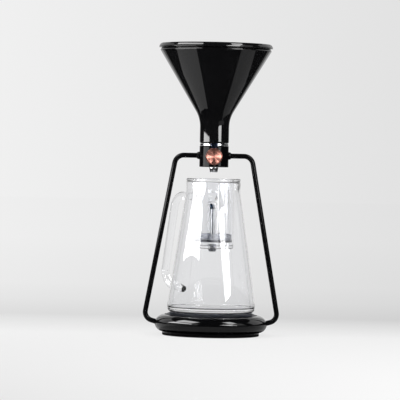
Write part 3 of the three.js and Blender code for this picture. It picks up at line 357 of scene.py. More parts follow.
def ring_tree():
    """Copies one tile evenly round Z and welds the copies together."""
    tree = Tree("ring_of_tiles", "Copies")
    angle = tree.add("GeometryNodeInputIndex") * TURN / tree.number
    copies = tree.add("GeometryNodeInstanceOnPoints", inputs={
        "Points": tree.add("GeometryNodePoints", inputs={"Count": tree.number}), "Instance": tree.mesh,
        "Rotation": tree.add("ShaderNodeCombineXYZ", inputs={"Z": angle})})
    return tree.end(copies, TILE_WELD)


# Outlines

def rounded(corners, closed=False):
    """Points along (r, z, radius) corners, with each corner rounded by an arc of its own radius."""
    count = len(corners)
    points = []
    for i, (r, z, radius) in enumerate(corners):
        here = Vector((r, z))
        if not radius or (not closed and i in (0, count - 1)):
            points.append(here)
            continue
        back = Vector(corners[i - 1][:2]) - here
        ahead = Vector(corners[(i + 1) % count][:2]) - here
        half = back.angle(ahead) / 2
        reach = min(radius / math.tan(half), back.length * RUN_SHARE, ahead.length * RUN_SHARE)
        radius = reach * math.tan(half)
        centre = here + (back.normalized() + ahead.normalized()).normalized() * radius / math.sin(half)
        start = here + back.normalized() * reach - centre
        end = here + ahead.normalized() * reach - centre
        turn = math.atan2(start.x * end.y - start.y * end.x, start.dot(end))
        wide = abs(turn)
        steps = max(2, math.ceil(ARC_STEPS * wide / (math.pi / 2)), math.ceil(radius * wide / ARC_RUN))
        for step in range(steps + 1):
            angle = turn * step / steps
            points.append(centre + Vector((
                start.x * math.cos(angle) - start.y * math.sin(angle),
                start.x * math.sin(angle) + start.y * math.cos(angle))))
    if closed:
        points.append(points[0].copy())
    return points


def bulge(start, end, power, rises_first):
    """A quarter of a rounded outline that bulges from one point to the other."""
    points = []
    for i in range(SHELL_STEPS + 1):
        angle = math.pi / 2 * i / SHELL_STEPS
        across = math.sin(angle) ** (2 / power)
        along = 1 - math.cos(angle) ** (2 / power)
        share_r, share_z = (along, across) if rises_first else (across, along)
        points.append(Vector((
            start[0] + (end[0] - start[0]) * share_r, start[1] + (end[1] - start[1]) * share_z)))
    return points


def held(points):
    """The outline with a point close to both ends of each long run, so that rounding stays in the arcs."""
    kept = []
    for start, end in zip(points, points[1:]):
        kept.append(start)
        length = (end - start).length
        if length > LONG_RUN:
            kept += [start.lerp(end, HOLD / length), start.lerp(end, 1 - HOLD / length)]
    return [*kept, points[-1]]


def finely(points, step):
    """The outline with its long runs cut to a step."""
    cut = []
    for start, end in zip(points, points[1:]):
        count = max(1, round((end - start).length / step))
        cut += [start.lerp(end, i / count) for i in range(count)]
    return [*cut, points[-1]]


# Meshes

def object_of(name, data):
    piece = bpy.data.objects.new(name, data)
    bpy.context.scene.collection.objects.link(piece)
    return piece


def smooth(mesh):
    mesh.shade_smooth()
    mesh.set_sharp_from_angle(angle=SHARP_ANGLE)
    return mesh


def mesh_of(name, shape, finish=None):
    """The shape as a plain mesh, smooth where it has a finish; the shape itself is let go."""
    mesh = bpy.data.meshes.new(name)
    shape.to_mesh(mesh)
    shape.free()
    if finish:
        mesh.materials.append(finish)
        smooth(mesh)
    return mesh


def made_by_modifiers(name, source):
    """The plain mesh that an object's modifiers make; the object is let go."""
    graph = bpy.context.evaluated_depsgraph_get()
    made = bpy.data.meshes.new_from_object(source.evaluated_get(graph), depsgraph=graph)
    bpy.data.objects.remove(source)
    made.name = name
    return made


def run_tree(name, mesh, tree, values):
    """The mesh that a tree makes of a starting mesh, from values by the names of its inputs."""
    source = object_of(name + "_source", mesh)
    modifier = source.modifiers.new("tree", "NODES")
    modifier.node_group = tree
    for item in tree.interface.items_tree:
        if item.in_out == "INPUT" and item.name in values:
            modifier[item.identifier] = values[item.name]
    made = made_by_modifiers(name, source)
    made.materials.clear()
    made.materials.append(values["Finish"])
    made.polygons.foreach_set("material_index", [0] * len(made.polygons))
    return outward(made)


def outward(mesh):
    """Welds what rounding left apart and points every face out."""
    shape = bmesh.new()
    shape.from_mesh(mesh)
    bmesh.ops.remove_doubles(shape, verts=shape.verts, dist=WELD)
    bmesh.ops.dissolve_degenerate(shape, edges=shape.edges, dist=FLAT)
    bmesh.ops.recalc_face_normals(shape, faces=shape.faces)
    shape.to_mesh(mesh)
    shape.free()
    return smooth(mesh)


TURNING = turning_tree()
RING = ring_tree()


def turned(name, points, finish, sides=SIDES):
    """A turned piece about Z from an outline that is closed or starts and ends on the axis."""
    mesh = bpy.data.meshes.new(name)
    mesh.from_pydata([(p[0] * MM, 0, p[1] * MM) for p in held(points)], [], [])
    return run_tree(name, mesh, TURNING, {"Sides": sides, "Finish": FINISHES[finish]})


def laid(mesh, start, angle, axis):
    """Lays a piece that was turned about Z along another axis, with its start at a place in millimetres."""
    mesh.transform(Matrix.Translation(Vector(start) * MM) @ Matrix.Rotation(angle, 4, axis))
    return mesh


def bridge(shape, first, second):
    """Faces between two rings of vertices."""
    for k in range(len(first)):
        j = (k + 1) % len(first)
        shape.faces.new((first[k], first[j], second[j], second[k]))


def solid(name, rings, finish=None, edge=0):
    """A solid through rings of points in millimetres, closed at both ends, bevelled where edge isn't 0."""
    shape = bmesh.new()
    rows = [[shape.verts.new(Vector(point) * MM) for point in ring] for ring in rings]
    for first, second in zip(rows, rows[1:]):
        bridge(shape, first, second)
    shape.faces.new(rows[0])
    shape.faces.new(rows[-1])
    if edge:
        bmesh.ops.bevel(shape, geom=shape.edges[:], offset=edge * MM, segments=BEVEL_STEPS, affect="EDGES",
                        profile=0.5)
    bmesh.ops.recalc_face_normals(shape, faces=shape.faces)
    return mesh_of(name, shape, finish)


def bar(name, path, radius_at, finish):
    """A round bar along a path in the XZ plane; radius_at gives its radius by share of the path."""
    across = Vector((0, 1, 0))
    turns = [TURN * k / BAR_SIDES for k in range(BAR_SIDES)]
    rings = []
    for i, point in enumerate(path):
        ahead = path[min(i + 1, len(path) - 1)] - path[max(i - 1, 0)]
        ahead.normalize()
        up = ahead.cross(across)
        radius = radius_at(i / (len(path) - 1))
        rings.append([point + (across * math.cos(turn) + up * math.sin(turn)) * radius for turn in turns])
    return solid(name, rings, FINISHES[finish])


def bent_path(corners):
    """A line in the XZ plane through (x, z, bend radius) corners, with its straight runs cut finely."""
    return [Vector((p.x, 0, p.y)) for p in finely(rounded(corners), RUN_STEP)]


def joined(name, meshes):
    """Several meshes with one finish as one piece."""
    shape = bmesh.new()
    for mesh in meshes:
        shape.from_mesh(mesh)
    return mesh_of(name, shape, meshes[0].materials[0])


def union(name, first, second):
    """One solid from two meshes that cross."""
    one = object_of(name + "_first", first)
    two = object_of(name + "_second", second)
    modifier = one.modifiers.new("union", "BOOLEAN")
    modifier.operation = "UNION"
    modifier.solver = "EXACT"
    modifier.object = two
    made = made_by_modifiers(name, one)
    bpy.data.objects.remove(two)
    return smooth(made)


def place(name, mesh, body, slot, *nodes):
    """Puts a mesh in the scene as a piece on a body that stands for CAD nodes; glass throws no shadow."""
    piece = object_of(name, mesh)
    piece.visible_shadow = slot != "clear_glass"
    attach(piece, body)
    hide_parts(*nodes)


def turned_piece(name, points, body, slot, node, sides=SIDES, finish=None):
    """A turned piece that stands for one CAD node, in the finish of its slot or in another."""
    place(name, turned(node, points, finish or slot, sides), body, slot, node)


# Finishes

class Finish(Nodes):
    """A material, or the world, that is built node by node."""

    def __init__(self, name, kind=bpy.data.materials, output="ShaderNodeOutputMaterial"):
        self.owner = kind.new(name)
        self.owner.use_nodes = True
        super().__init__(self.owner.node_tree)
        self.output = self.tree.nodes.new(output)

    def where(self, centre_z=0, scale=(1, 1, 1)):
        """Object coordinates, centred at a height in millimetres and scaled."""
        return self.add("ShaderNodeMapping", inputs={
            "Vector": self.add("ShaderNodeTexCoord", output="Object"),
            "Location": (0, 0, -centre_z * MM * scale[2]), "Scale": scale})

    def axis(self, at, number):
        return self.add("ShaderNodeSeparateXYZ", inputs={0: at}, output=number)

    def noise(self, at, scale, detail, roughness=0.5):
        return self.add("ShaderNodeTexNoise", inputs={
            "Vector": at, "Scale": scale, "Detail": detail, "Roughness": roughness})

    def ramp(self, factor, *stops):
        return self.add("ShaderNodeValToRGB", {"stops": stops}, {"Fac": factor})

    def mix(self, factor, first, second):
        return self.add("ShaderNodeMix", {"data_type": "RGBA"}, {0: factor, 6: first, 7: second}, output=2)

    def blend(self, factor, first, second):
        return self.add("ShaderNodeMixShader", inputs={0: factor, 1: first, 2: second})

    def light_path(self, output):
        return self.add("ShaderNodeLightPath", output=output)

    def surface(self, bump, **inputs):
        """Ends the finish; bump is a height, a distance in mm and a strength, underscores are spaces."""
        height, distance, strength = bump
        normal = self.add("ShaderNodeBump", inputs={
            "Height": height, "Distance": distance * MM, "Strength": strength})
        named = {key.replace("_", " "): value for key, value in inputs.items()}
        return self.end(self.add("ShaderNodeBsdfPrincipled", inputs={"Normal": normal, **named}))

    def end(self, shader):
        self.tree.links.new(shader.socket, self.output.inputs["Surface"])
        return self.owner


# The knob's turning marks: radians of a sine for each metre from its axis
KNOB_MARK_RATE = 26000
# The board's tracks each way: the rate of the sine that draws them and the level above which they are copper
BOARD_TRACKS = ((1250, 0.82), (1570, 0.86))
# The battery's pale band from and to, and the end of its sleeve, in millimetres from its middle
BATTERY_MARKS = (12.5, 16.5, 21.4)


def black_glaze(name):
    """Poured black glaze: a faint ripple, tiny pits and a little unevenness in its gloss."""
    finish = Finish(name)
    at = finish.where()
    ripple = finish.noise(at, 60, 2)
    pits = finish.ramp(finish.noise(at, 1400, 1), (0.26, 0.0), (0.3, 1.0))
    cloud = finish.noise(at, 25, 4)
    colour = finish.mix(cloud, rgb(0.0035, 0.0035, 0.004), rgb(0.006, 0.006, 0.0065))
    return finish.surface((ripple * 0.9 + pits * 0.1, 0.02, 0.5), Base_Color=colour,
                          Roughness=cloud * 0.03 + 0.02, IOR=1.5)


def gloss_plastic(name, dark, light, rough, ior=1.5):
    """Moulded gloss plastic: fine flow lines, a soft ripple and light handling marks in its gloss."""
    finish = Finish(name)
    flow = finish.noise(finish.where(scale=(1, 1, 6)), 40, 4)
    marks = finish.ramp(finish.noise(finish.where(), 260, 6, 0.7), (0.5, 0.0), (0.75, 1.0))
    return finish.surface((flow, 0.02, 0.4), Base_Color=finish.mix(flow, dark, light),
                          Roughness=marks * 0.07 + flow * 0.04 + rough, IOR=ior)


def enamel(name, rough, ior):
    """Black enamel sprayed on metal: orange peel and a slightly worn gloss."""
    finish = Finish(name)
    at = finish.where()
    peel = finish.noise(at, 900, 2)
    worn = finish.noise(at, 40, 4)
    colour = finish.mix(worn, rgb(0.002, 0.002, 0.0024), rgb(0.004, 0.004, 0.0045))
    return finish.surface((peel, 0.02, 0.4), Base_Color=colour, Roughness=worn * 0.06 + rough, IOR=ior)


def turned_copper(name):
    """Copper turned on a lathe, with fine rings round the knob's axis and warm stains between them."""
    finish = Finish(name)
    at = finish.where(PLUG_Z, scale=(1, 0, 1))
    radius = finish.add("ShaderNodeVectorMath", {"operation": "LENGTH"}, {0: at}, output="Value")
    rings = (radius * KNOB_MARK_RATE).maths("SINE")
    stain = finish.noise(finish.where(), 160, 4)
    colour = finish.mix(stain, rgb(0.43, 0.18, 0.14), rgb(0.52, 0.24, 0.19))
    return finish.surface((rings, 0.012, 0.3), Base_Color=colour, Metallic=1.0, Roughness=stain * 0.06 + 0.26)


def metal(name, dark, light, rough, grain):
    """Metal with a fine lathe grain round Z and small scratches."""
    finish = Finish(name)
    lines = finish.noise(finish.where(scale=(1, 1, grain)), 120, 4)
    scratch = finish.noise(finish.where(), 900, 5, 0.7)
    return finish.surface((lines, 0.01, 0.5), Base_Color=finish.mix(lines, dark, light), Metallic=1.0,
                          Roughness=lines * 0.12 + scratch * 0.06 + rough)


def fluted_metal_painted_stripes(name, count, dark, light):
    """Metal with a number of flutes that run along Z: a shallow bump and a rougher gloss in each, and painted
    reflection, near-black stripes in their colour.
    """
    finish = Finish(name)
    at = finish.where()
    around = finish.axis(at, 1).maths("ARCTAN2", finish.axis(at, 0)) * count
    flute = finish.ramp(0.5 - around.maths("SINE") * 0.5, (0.46, 0.0), (0.66, 1.0))
    grain = finish.noise(finish.where(scale=(1, 1, 0.2)), 500, 4)
    # Painted reflection: the flutes' near-black colour stands in for the dark room seen in the metal
    colour = finish.mix(flute * (grain * 0.4 + 0.7), light, dark)
    return finish.surface((flute, 0.1, 0.5), Base_Color=colour, Metallic=1.0,
                          Roughness=grain * 0.06 + flute * 0.2 + 0.28)


def cast_metal(name):
    """Die-cast alloy with a dull grainy skin."""
    finish = Finish(name)
    at = finish.where()
    grain = finish.noise(at, 800, 4)
    colour = finish.mix(finish.noise(at, 40, 3), rgb(0.30, 0.31, 0.32), rgb(0.42, 0.43, 0.44))
    return finish.surface((grain, 0.05, 0.6), Base_Color=colour, Metallic=1.0, Roughness=grain * 0.2 + 0.4)


def matt(name, dark, light, rough, scale, ior=1.5):
    """Rubber, silicone or matt plastic: a fine grain and slightly uneven colour."""
    finish = Finish(name)
    at = finish.where()
    grain = finish.noise(at, scale, 3)
    colour = finish.mix(finish.noise(at, scale / 12, 3), dark, light)
    return finish.surface((grain, 0.04, 0.7), Base_Color=colour, Roughness=grain * 0.15 + rough, IOR=ior)


def board_green(name):
    """A circuit board: solder mask over a grid of copper tracks, with round pads."""
    finish = Finish(name)
    at = finish.where()
    tracks_x, tracks_y = [
        (finish.axis(at, i) * rate).maths("SINE") > level for i, (rate, level) in enumerate(BOARD_TRACKS)]
    tracks = tracks_x.maths("MAXIMUM", tracks_y)
    spots = finish.add("ShaderNodeTexVoronoi", inputs={"Vector": at, "Scale": 260})
    pads = finish.ramp(spots, (0.16, 1.0), (0.2, 0.0))
    mask = finish.mix(tracks, rgb(0.006, 0.07, 0.025), rgb(0.015, 0.14, 0.05))
    colour = finish.mix(pads, mask, rgb(0.7, 0.68, 0.62))
    return finish.surface((tracks + pads, 0.03, 0.7), Base_Color=colour, Metallic=pads,
                          Roughness=0.35 - pads * 0.1)


def battery_wrap(name):
    """A shrink-wrapped cell: a blue sleeve with a pale band and bare metal ends."""
    finish = Finish(name)
    at = finish.where()
    along = finish.axis(at, 0).maths("ABSOLUTE")
    band_start, band_end, sleeve_end = [along > x * MM for x in BATTERY_MARKS]
    shrink = finish.noise(at, 400, 3)
    sleeve = finish.mix(band_start - band_end, rgb(0.03, 0.09, 0.2), rgb(0.6, 0.62, 0.64))
    colour = finish.mix(sleeve_end, sleeve, rgb(0.62, 0.62, 0.6))
    return finish.surface((shrink, 0.03, 0.6), Base_Color=colour, Metallic=sleeve_end,
                          Roughness=shrink * 0.15 + 0.25)


def clear_glass(name):
    """Blown borosilicate glass: slightly wavy, with a faint cool tint and a trace of water marks."""
    finish = Finish(name)
    wave = finish.noise(finish.where(scale=(1, 1, 0.4)), 18, 2)
    marks = finish.ramp(finish.noise(finish.where(), 90, 5, 0.65), (0.62, 0.0), (0.8, 1.0))
    colour = finish.mix(wave, rgb(0.98, 0.983, 0.992), rgb(0.988, 0.99, 0.996))
    return finish.surface((wave, 0.05, 0.3), Base_Color=colour, Roughness=marks * 0.02,
                          Transmission_Weight=1.0, IOR=1.45)


FINISHES = {name: make(name, *values) for name, make, *values in (
    ("black_glaze", black_glaze),
    ("base_gloss", gloss_plastic, rgb(0.0015, 0.0015, 0.0018), rgb(0.003, 0.003, 0.0034), 0.05),
    ("platform_gloss", gloss_plastic, rgb(0.004, 0.005, 0.008), rgb(0.008, 0.009, 0.015), 0.34, 1.2),
    ("black_enamel", enamel, 0.14, 1.22),
    ("satin_enamel", enamel, 0.06, 1.17),
    ("copper", turned_copper),
    ("bright_metal", metal, rgb(0.52, 0.53, 0.55), rgb(0.66, 0.67, 0.69), 0.05, 14),
    ("strainer_steel", metal, rgb(0.24, 0.25, 0.28), rgb(0.34, 0.35, 0.38), 0.32, 10),
    # The fluted finishes' first colour is painted reflection, the near-black of their stripes
    ("fluted_steel", fluted_metal_painted_stripes, 5, rgb(0.008, 0.008, 0.01), rgb(0.5, 0.51, 0.53)),
    ("fluted_tip", fluted_metal_painted_stripes, 9, rgb(0.003, 0.003, 0.004), rgb(0.16, 0.17, 0.19)),
    ("dark_metal", metal, rgb(0.04, 0.055, 0.10), rgb(0.08, 0.10, 0.17), 0.16, 12),
    ("screw_steel", metal, rgb(0.45, 0.46, 0.47), rgb(0.6, 0.6, 0.61), 0.2, 20),
    ("cast_plate", cast_metal),
    ("foot_rubber", matt, rgb(0.003, 0.003, 0.003), rgb(0.006, 0.006, 0.006), 0.6, 700, 1.15),
    ("inner_plastic", matt, rgb(0.018, 0.018, 0.02), rgb(0.03, 0.03, 0.032), 0.45, 500),
    ("silicone", matt, rgb(0.10, 0.10, 0.11), rgb(0.15, 0.15, 0.16), 0.55, 600),
    ("seal_rubber", matt, rgb(0.012, 0.013, 0.02), rgb(0.02, 0.022, 0.032), 0.4, 600),
    ("circuit_board", board_green),
    ("battery_wrap", battery_wrap),
    ("clear_glass", clear_glass),
)}


# Base

def base_shell():
    inner_r = SHELL_R - SHELL_WALL
    low = SHELL_LOWER_R - SHELL_WALL / 2
    outside = bulge((SHELL_LOWER_R, SHELL_BOTTOM_Z), (SHELL_R, SHELL_BULGE_Z), SHELL_LOWER_POWER, False)
    upper = bulge((SHELL_R, SHELL_BULGE_Z), (SHELL_OPENING_R, SHELL_TOP_Z), SHELL_UPPER_POWER, True)
    lip = Vector((SHELL_OPENING_R - SHELL_EDGE / 2, SHELL_TOP_Z - SHELL_EDGE / 2))
    under = bulge((SHELL_OPENING_R, SHELL_TOP_Z - SHELL_WALL), (inner_r, SHELL_BULGE_Z),
                  SHELL_UPPER_POWER, False)
    inside = bulge((inner_r, SHELL_BULGE_Z), (low, SHELL_BOTTOM_Z + SHELL_WALL), SHELL_LOWER_POWER, True)
    end = [Vector((low, SHELL_BOTTOM_Z)), outside[0].copy()]
    outline = [*outside, *upper[1:], lip, *under, *inside[1:], *end]
    turned_piece("base_shell_skin", outline, "stand", "base_gloss", "base_shell", FINE_SIDES)


def platform():
    outline = rounded([
        (0, PLATFORM_BOTTOM_Z, 0), (PLATFORM_R - PLATFORM_LIP, PLATFORM_BOTTOM_Z, 0.5),
        (PLATFORM_R, SHELL_TOP_Z, 0.7), (PLATFORM_TOP_R, PLATFORM_TOP_Z, 1.2), (0, PLATFORM_TOP_Z, 0)])
    turned_piece("weighing_platform_disc", outline, "stand", "base_gloss", "weighing_platform", FINE_SIDES,
                 "platform_gloss")


def foot_ring():
    inner = FOOT_R - FOOT_WIDTH
    middle = FOOT_R - FOOT_WIDTH / 2
    outline = rounded([
        (inner, 0, 0.5), (middle - FOOT_GROOVE, 0, 0.2), (middle, FOOT_GROOVE, 0.2),
        (middle + FOOT_GROOVE, 0, 0.2), (FOOT_R, 0, 0.6), (FOOT_R, FOOT_H, 0.4), (inner, FOOT_H, 0.4),
    ], closed=True)
    turned_piece("foot_ring_rubber", outline, "stand", "foot_rubber", "foot_ring", FINE_SIDES)


# Rod frame

def rods():
    entry_z = ROD_FOOT_CORNER_Z + (ROD_FOOT_END_X - ROD_FOOT_CORNER_X) * ROD_ENTRY_SLOPE
    corners = [
        (ROD_TOP_END_X, ROD_ARM_Z, 0), (ROD_ARM_CORNER_X, ROD_ARM_Z, ROD_UPPER_BEND_R),
        (ROD_FOOT_CORNER_X, ROD_FOOT_CORNER_Z, ROD_LOWER_BEND_R), (ROD_FOOT_END_X, entry_z, 0)]
    for side, word in ((-1, "left"), (1, "right")):
        path = bent_path([(side * x, z, radius) for x, z, radius in corners])
        mesh = bar(word + "_rod", path, lambda share: ROD_R, "black_enamel")
        place(word + "_rod_tube", mesh, "stand", "black_enamel", word + "_rod")


# Valve

def valve_body():
    """The body with a short flared boss for each rod."""
    core = turned("valve_core", rounded([
        (0, VALVE_BOTTOM_Z, 0), (VALVE_R, VALVE_BOTTOM_Z, VALVE_EDGE),
        (VALVE_R, VALVE_TOP_Z, VALVE_EDGE), (0, VALVE_TOP_Z, 0)]), "satin_enamel")
    reach = BOSS_REACH - BOSS_ROOT_X
    flare = rounded([
        (0, 0, 0), (BOSS_R, 0, 0), (BOSS_R, VALVE_R - BOSS_ROOT_X, 3), (BOSS_END_R, reach, 0.6),
        (0, reach, 0)])
    bosses = [
        laid(turned("boss", flare, "satin_enamel", SMALL_SIDES), (side * BOSS_ROOT_X, 0, ROD_ARM_Z),
             side * math.pi / 2, "Y") for side in (-1, 1)]
    place("valve_block", joined("valve_body", [core, *bosses]), "stand", "black_enamel", "valve_body")


def funnel_adaptor():
    low = SPIGOT_R - GAP
    top = ADAPTOR_Z + ADAPTOR_H
    outline = rounded([
        (ADAPTOR_BORE_R, ADAPTOR_BOTTOM_Z, 0.3), (low, ADAPTOR_BOTTOM_Z, 0.3),
        (low, ADAPTOR_Z, 0.1), (ADAPTOR_R, ADAPTOR_Z, 0.25), (ADAPTOR_R, top, 0.25),
        (SPIGOT_R, top, 0.3), (SPIGOT_R, SPIGOT_TOP_Z, 0.8), (ADAPTOR_BORE_R, SPIGOT_TOP_Z, 0.5),
    ], closed=True)
    turned_piece("funnel_adaptor_ring", outline, "stand", "bright_metal", "funnel_adaptor")


def valve_marker():
    corners = [(-MARKER_HALF, MARKER_BOTTOM_Z), (MARKER_HALF, MARKER_BOTTOM_Z),
               (MARKER_TOP_HALF, MARKER_TOP_Z), (-MARKER_TOP_HALF, MARKER_TOP_Z)]
    rings = [[(x, y, z) for x, z in corners] for y in (KNOB_BACK_Y, KNOB_BACK_Y - MARKER_T)]
    mesh = solid("valve_marker", rings, FINISHES["dark_metal"], MARKER_EDGE)
    place("valve_marker_tab", mesh, "stand", "dark_metal", "valve_marker")


def nozzle():
    """A collar with slotted fingers below it, copied round the bore."""
    collar = turned("nozzle_collar", rounded([
        (NOZZLE_BORE_R, NOZZLE_COLLAR_Z, 0), (NOZZLE_TOP_R, NOZZLE_COLLAR_Z, 0.15),
        (NOZZLE_TOP_R, NOZZLE_TOP_Z, 0.4), (NOZZLE_BORE_R, NOZZLE_TOP_Z, 0.2)], closed=True),
        "bright_metal", SMALL_SIDES)
    section = [(NOZZLE_BORE_R, NOZZLE_COLLAR_Z), (NOZZLE_TOP_R, NOZZLE_COLLAR_Z),
               (NOZZLE_R, NOZZLE_BOTTOM_Z), (NOZZLE_BORE_R, NOZZLE_BOTTOM_Z)]
    span = TURN / NOZZLE_FINGERS * (1 - NOZZLE_SLOT_SHARE)
    angles = [span * (i / FINGER_STEPS - 0.5) for i in range(FINGER_STEPS + 1)]
    finger = solid("nozzle_finger", [
        [(r * math.cos(angle), r * math.sin(angle), z) for r, z in section] for angle in angles])
    fingers = run_tree("nozzle_fingers", finger, RING,
                       {"Copies": NOZZLE_FINGERS, "Finish": FINISHES["bright_metal"]})
    place("nozzle_tip", joined("nozzle", [collar, fingers]), "stand", "bright_metal", "nozzle")


def knob():
    """A round knob whose dished face carries real turned grooves."""
    face_r = KNOB_R - 2 * KNOB_EDGE
    face = []
    for i in range(2 * KNOB_GROOVES):
        r = i / 2 * face_r / KNOB_GROOVES
        ridge = 0 if i % 2 else KNOB_GROOVE_DEPTH
        face.append(Vector((r, KNOB_DISH * (1 - (r / face_r) ** 2) + ridge)))
    bore_z = KNOB_H - KNOB_BORE_DEPTH
    rim = rounded([
        (face_r, 0, 0), (KNOB_R - KNOB_EDGE / 2, 0, 0.3), (KNOB_R, KNOB_EDGE, 0.4), (KNOB_R, KNOB_H, 0.5),
        (KNOB_BORE_R, KNOB_H, 0.2), (KNOB_BORE_R, bore_z, 0), (0, bore_z, 0)])
    mesh = laid(turned("knob", face + rim, "copper", FINE_SIDES), (0, KNOB_BACK_Y - KNOB_H, PLUG_Z),
                -math.pi / 2, "X")
    place("knob_copper", mesh, "valve_dial", "copper", "knob")


# Funnel

def funnel():
    def cone_r(z):
        return NECK_R + (z - CONE_CORNER_Z) * CONE_SLOPE
    drop = FUNNEL_WALL / math.sin(math.atan(CONE_SLOPE))
    groove_z = LIP_Z - LIP_GROOVE_H
    shoulder_z = groove_z - SHOULDER_H
    inner_top = FUNNEL_TOP_Z - LIP_WIDTH / 2
    outlet_z = CONE_CORNER_Z + drop - (NECK_R - FUNNEL_OUTLET_R) / CONE_SLOPE
    outline = rounded([
        (NECK_R, FUNNEL_BOTTOM_Z, 2.6), (NECK_R, CONE_CORNER_Z, NECK_FILLET_R),
        (cone_r(shoulder_z), shoulder_z, 2), (SHOULDER_R, BEAD_Z, 1.2),
        (SHOULDER_R - BEAD_LEAN, groove_z, 0.4), (LIP_GROOVE_R, LIP_Z - LIP_GROOVE_H / 2, 0.2),
        (SHOULDER_R, LIP_Z, 0.2), (FUNNEL_R, LIP_Z, 1.6), (FUNNEL_R, LIP_FACET_Z, 1),
        (FUNNEL_R - LIP_LEAN, LIP_FACET_TOP_Z, 0.8), (LIP_CREST_R, FUNNEL_TOP_Z, 1),
        (FUNNEL_R - LIP_WIDTH, FUNNEL_TOP_Z, 0.8), (cone_r(inner_top - drop), inner_top, 1),
        (FUNNEL_OUTLET_R, outlet_z, 4), (FUNNEL_OUTLET_R, FUNNEL_SEAT_Z, 0.4),
        (FUNNEL_SOCKET_R, FUNNEL_SEAT_Z, 0.4), (FUNNEL_SOCKET_R, FUNNEL_BOTTOM_Z, 0.4)], closed=True)
    turned_piece("funnel_glazed", outline, "funnel", "black_glaze", "funnel", FINE_SIDES)


# Jug

def jug_side(grow, bottom_z, corner_r):
    """The jug's corners from its bottom to its rim, moved out by grow."""
    neck_r = JUG_NECK_R + grow
    wide = neck_r + (JUG_NECK_Z - JUG_BULGE_Z) * JUG_SLOPE
    return [
        (wide - JUG_FOOT_DRAW, bottom_z, corner_r), (wide, JUG_BULGE_Z, JUG_BULGE_R),
        (neck_r, JUG_NECK_Z, JUG_SHOULDER_R), (neck_r, JUG_TOP_Z, JUG_RIM_R)]


def pull_spout(mesh):
    """Draws the rim out into a pouring lip."""
    for vertex in mesh.vertices:
        x, y, z = vertex.co / MM
        rise = max((z - SPOUT_BOTTOM_Z) / (JUG_TOP_Z - SPOUT_BOTTOM_Z), 0)
        away = (math.atan2(y, x) - SPOUT_TURN + math.pi) % TURN - math.pi
        pull = SPOUT_REACH * rise * rise * math.exp(-(away / SPOUT_HALF_WIDTH) ** 2)
        r = math.hypot(x, y)
        if r > 0:
            vertex.co.x *= 1 + pull / r
            vertex.co.y *= 1 + pull / r


def handle_bar():
    """The handle's bent bar, drawn in a little where it is fused to the wall."""
    upper, lower = [
        (JUG_NECK_R + (JUG_NECK_Z - z) * JUG_SLOPE - JUG_WALL / 2, z, 0)
        for z in (HANDLE_UPPER_Z, HANDLE_LOWER_Z)]
    path = bent_path([
        upper, (HANDLE_UPPER_REACH, HANDLE_UPPER_Z, HANDLE_UPPER_BEND_R),
        (HANDLE_LOWER_REACH, HANDLE_CORNER_Z, HANDLE_LOWER_BEND_R), lower])

    def radius_at(share):
        root = min(share, 1 - share) / HANDLE_ROOT_SHARE
        return HANDLE_R * (1 - HANDLE_DRAW_SHARE * math.exp(-root ** 2))
    mesh = bar("jug_handle", path, radius_at, "clear_glass")
    mesh.transform(Matrix.Rotation(HANDLE_TURN, 4, "Z"))
    return mesh


def jug():
    inner = jug_side(-JUG_WALL, JUG_FLOOR_Z, JUG_FLOOR_CORNER_R)
    outline = rounded([
        (0, JUG_BOTTOM_Z, 0), *jug_side(0, JUG_BOTTOM_Z, JUG_CORNER_R),
        (JUG_NECK_R - JUG_WALL, JUG_TOP_Z, JUG_RIM_R), *reversed(inner[:-1]), (0, JUG_FLOOR_Z, 0)])
    mesh = turned("jug", finely(outline, GLASS_STEP), "clear_glass", FINE_SIDES)
    pull_spout(mesh)
    place("jug_glass", union("jug", mesh, handle_bar()), "jug", "clear_glass", "jug", "jug_handle")


# Drip chamber and strainer

def chamber():
    inner = CHAMBER_R - CHAMBER_WALL
    top = FLANGE_Z + FLANGE_H
    floor = CHAMBER_BOTTOM_Z + CHAMBER_FLOOR
    hole = TIP_SHANK_R + GAP
    outline = rounded([
        (hole, CHAMBER_BOTTOM_Z, 0.3), (CHAMBER_R, CHAMBER_BOTTOM_Z, 2.4), (CHAMBER_R, FLANGE_Z, 1.2),
        (FLANGE_R, FLANGE_Z, 2), (FLANGE_R, top, 2), (inner, top, 2.2), (inner, floor, 1.6),
        (hole, floor, 0.3)], closed=True)
    turned_piece("drip_chamber_glass", finely(outline, GLASS_STEP), "chamber", "clear_glass", "drip_chamber")


def drip_tip():
    seat_z = CHAMBER_BOTTOM_Z - GAP
    outline = rounded([
        (TIP_BORE_R, TIP_BOTTOM_Z, 0.3), (TIP_END_R, TIP_BOTTOM_Z, 0.5), (TIP_R, TIP_FLANGE_Z, 0.3),
        (TIP_R, seat_z, 0.2), (TIP_SHANK_R, seat_z, 0), (TIP_SHANK_R, TIP_TOP_Z, 0.3),
        (TIP_BORE_R, TIP_TOP_Z, 0.3)], closed=True)
    turned_piece("drip_tip_metal", outline, "chamber", "dark_metal", "drip_tip", SMALL_SIDES, "fluted_tip")


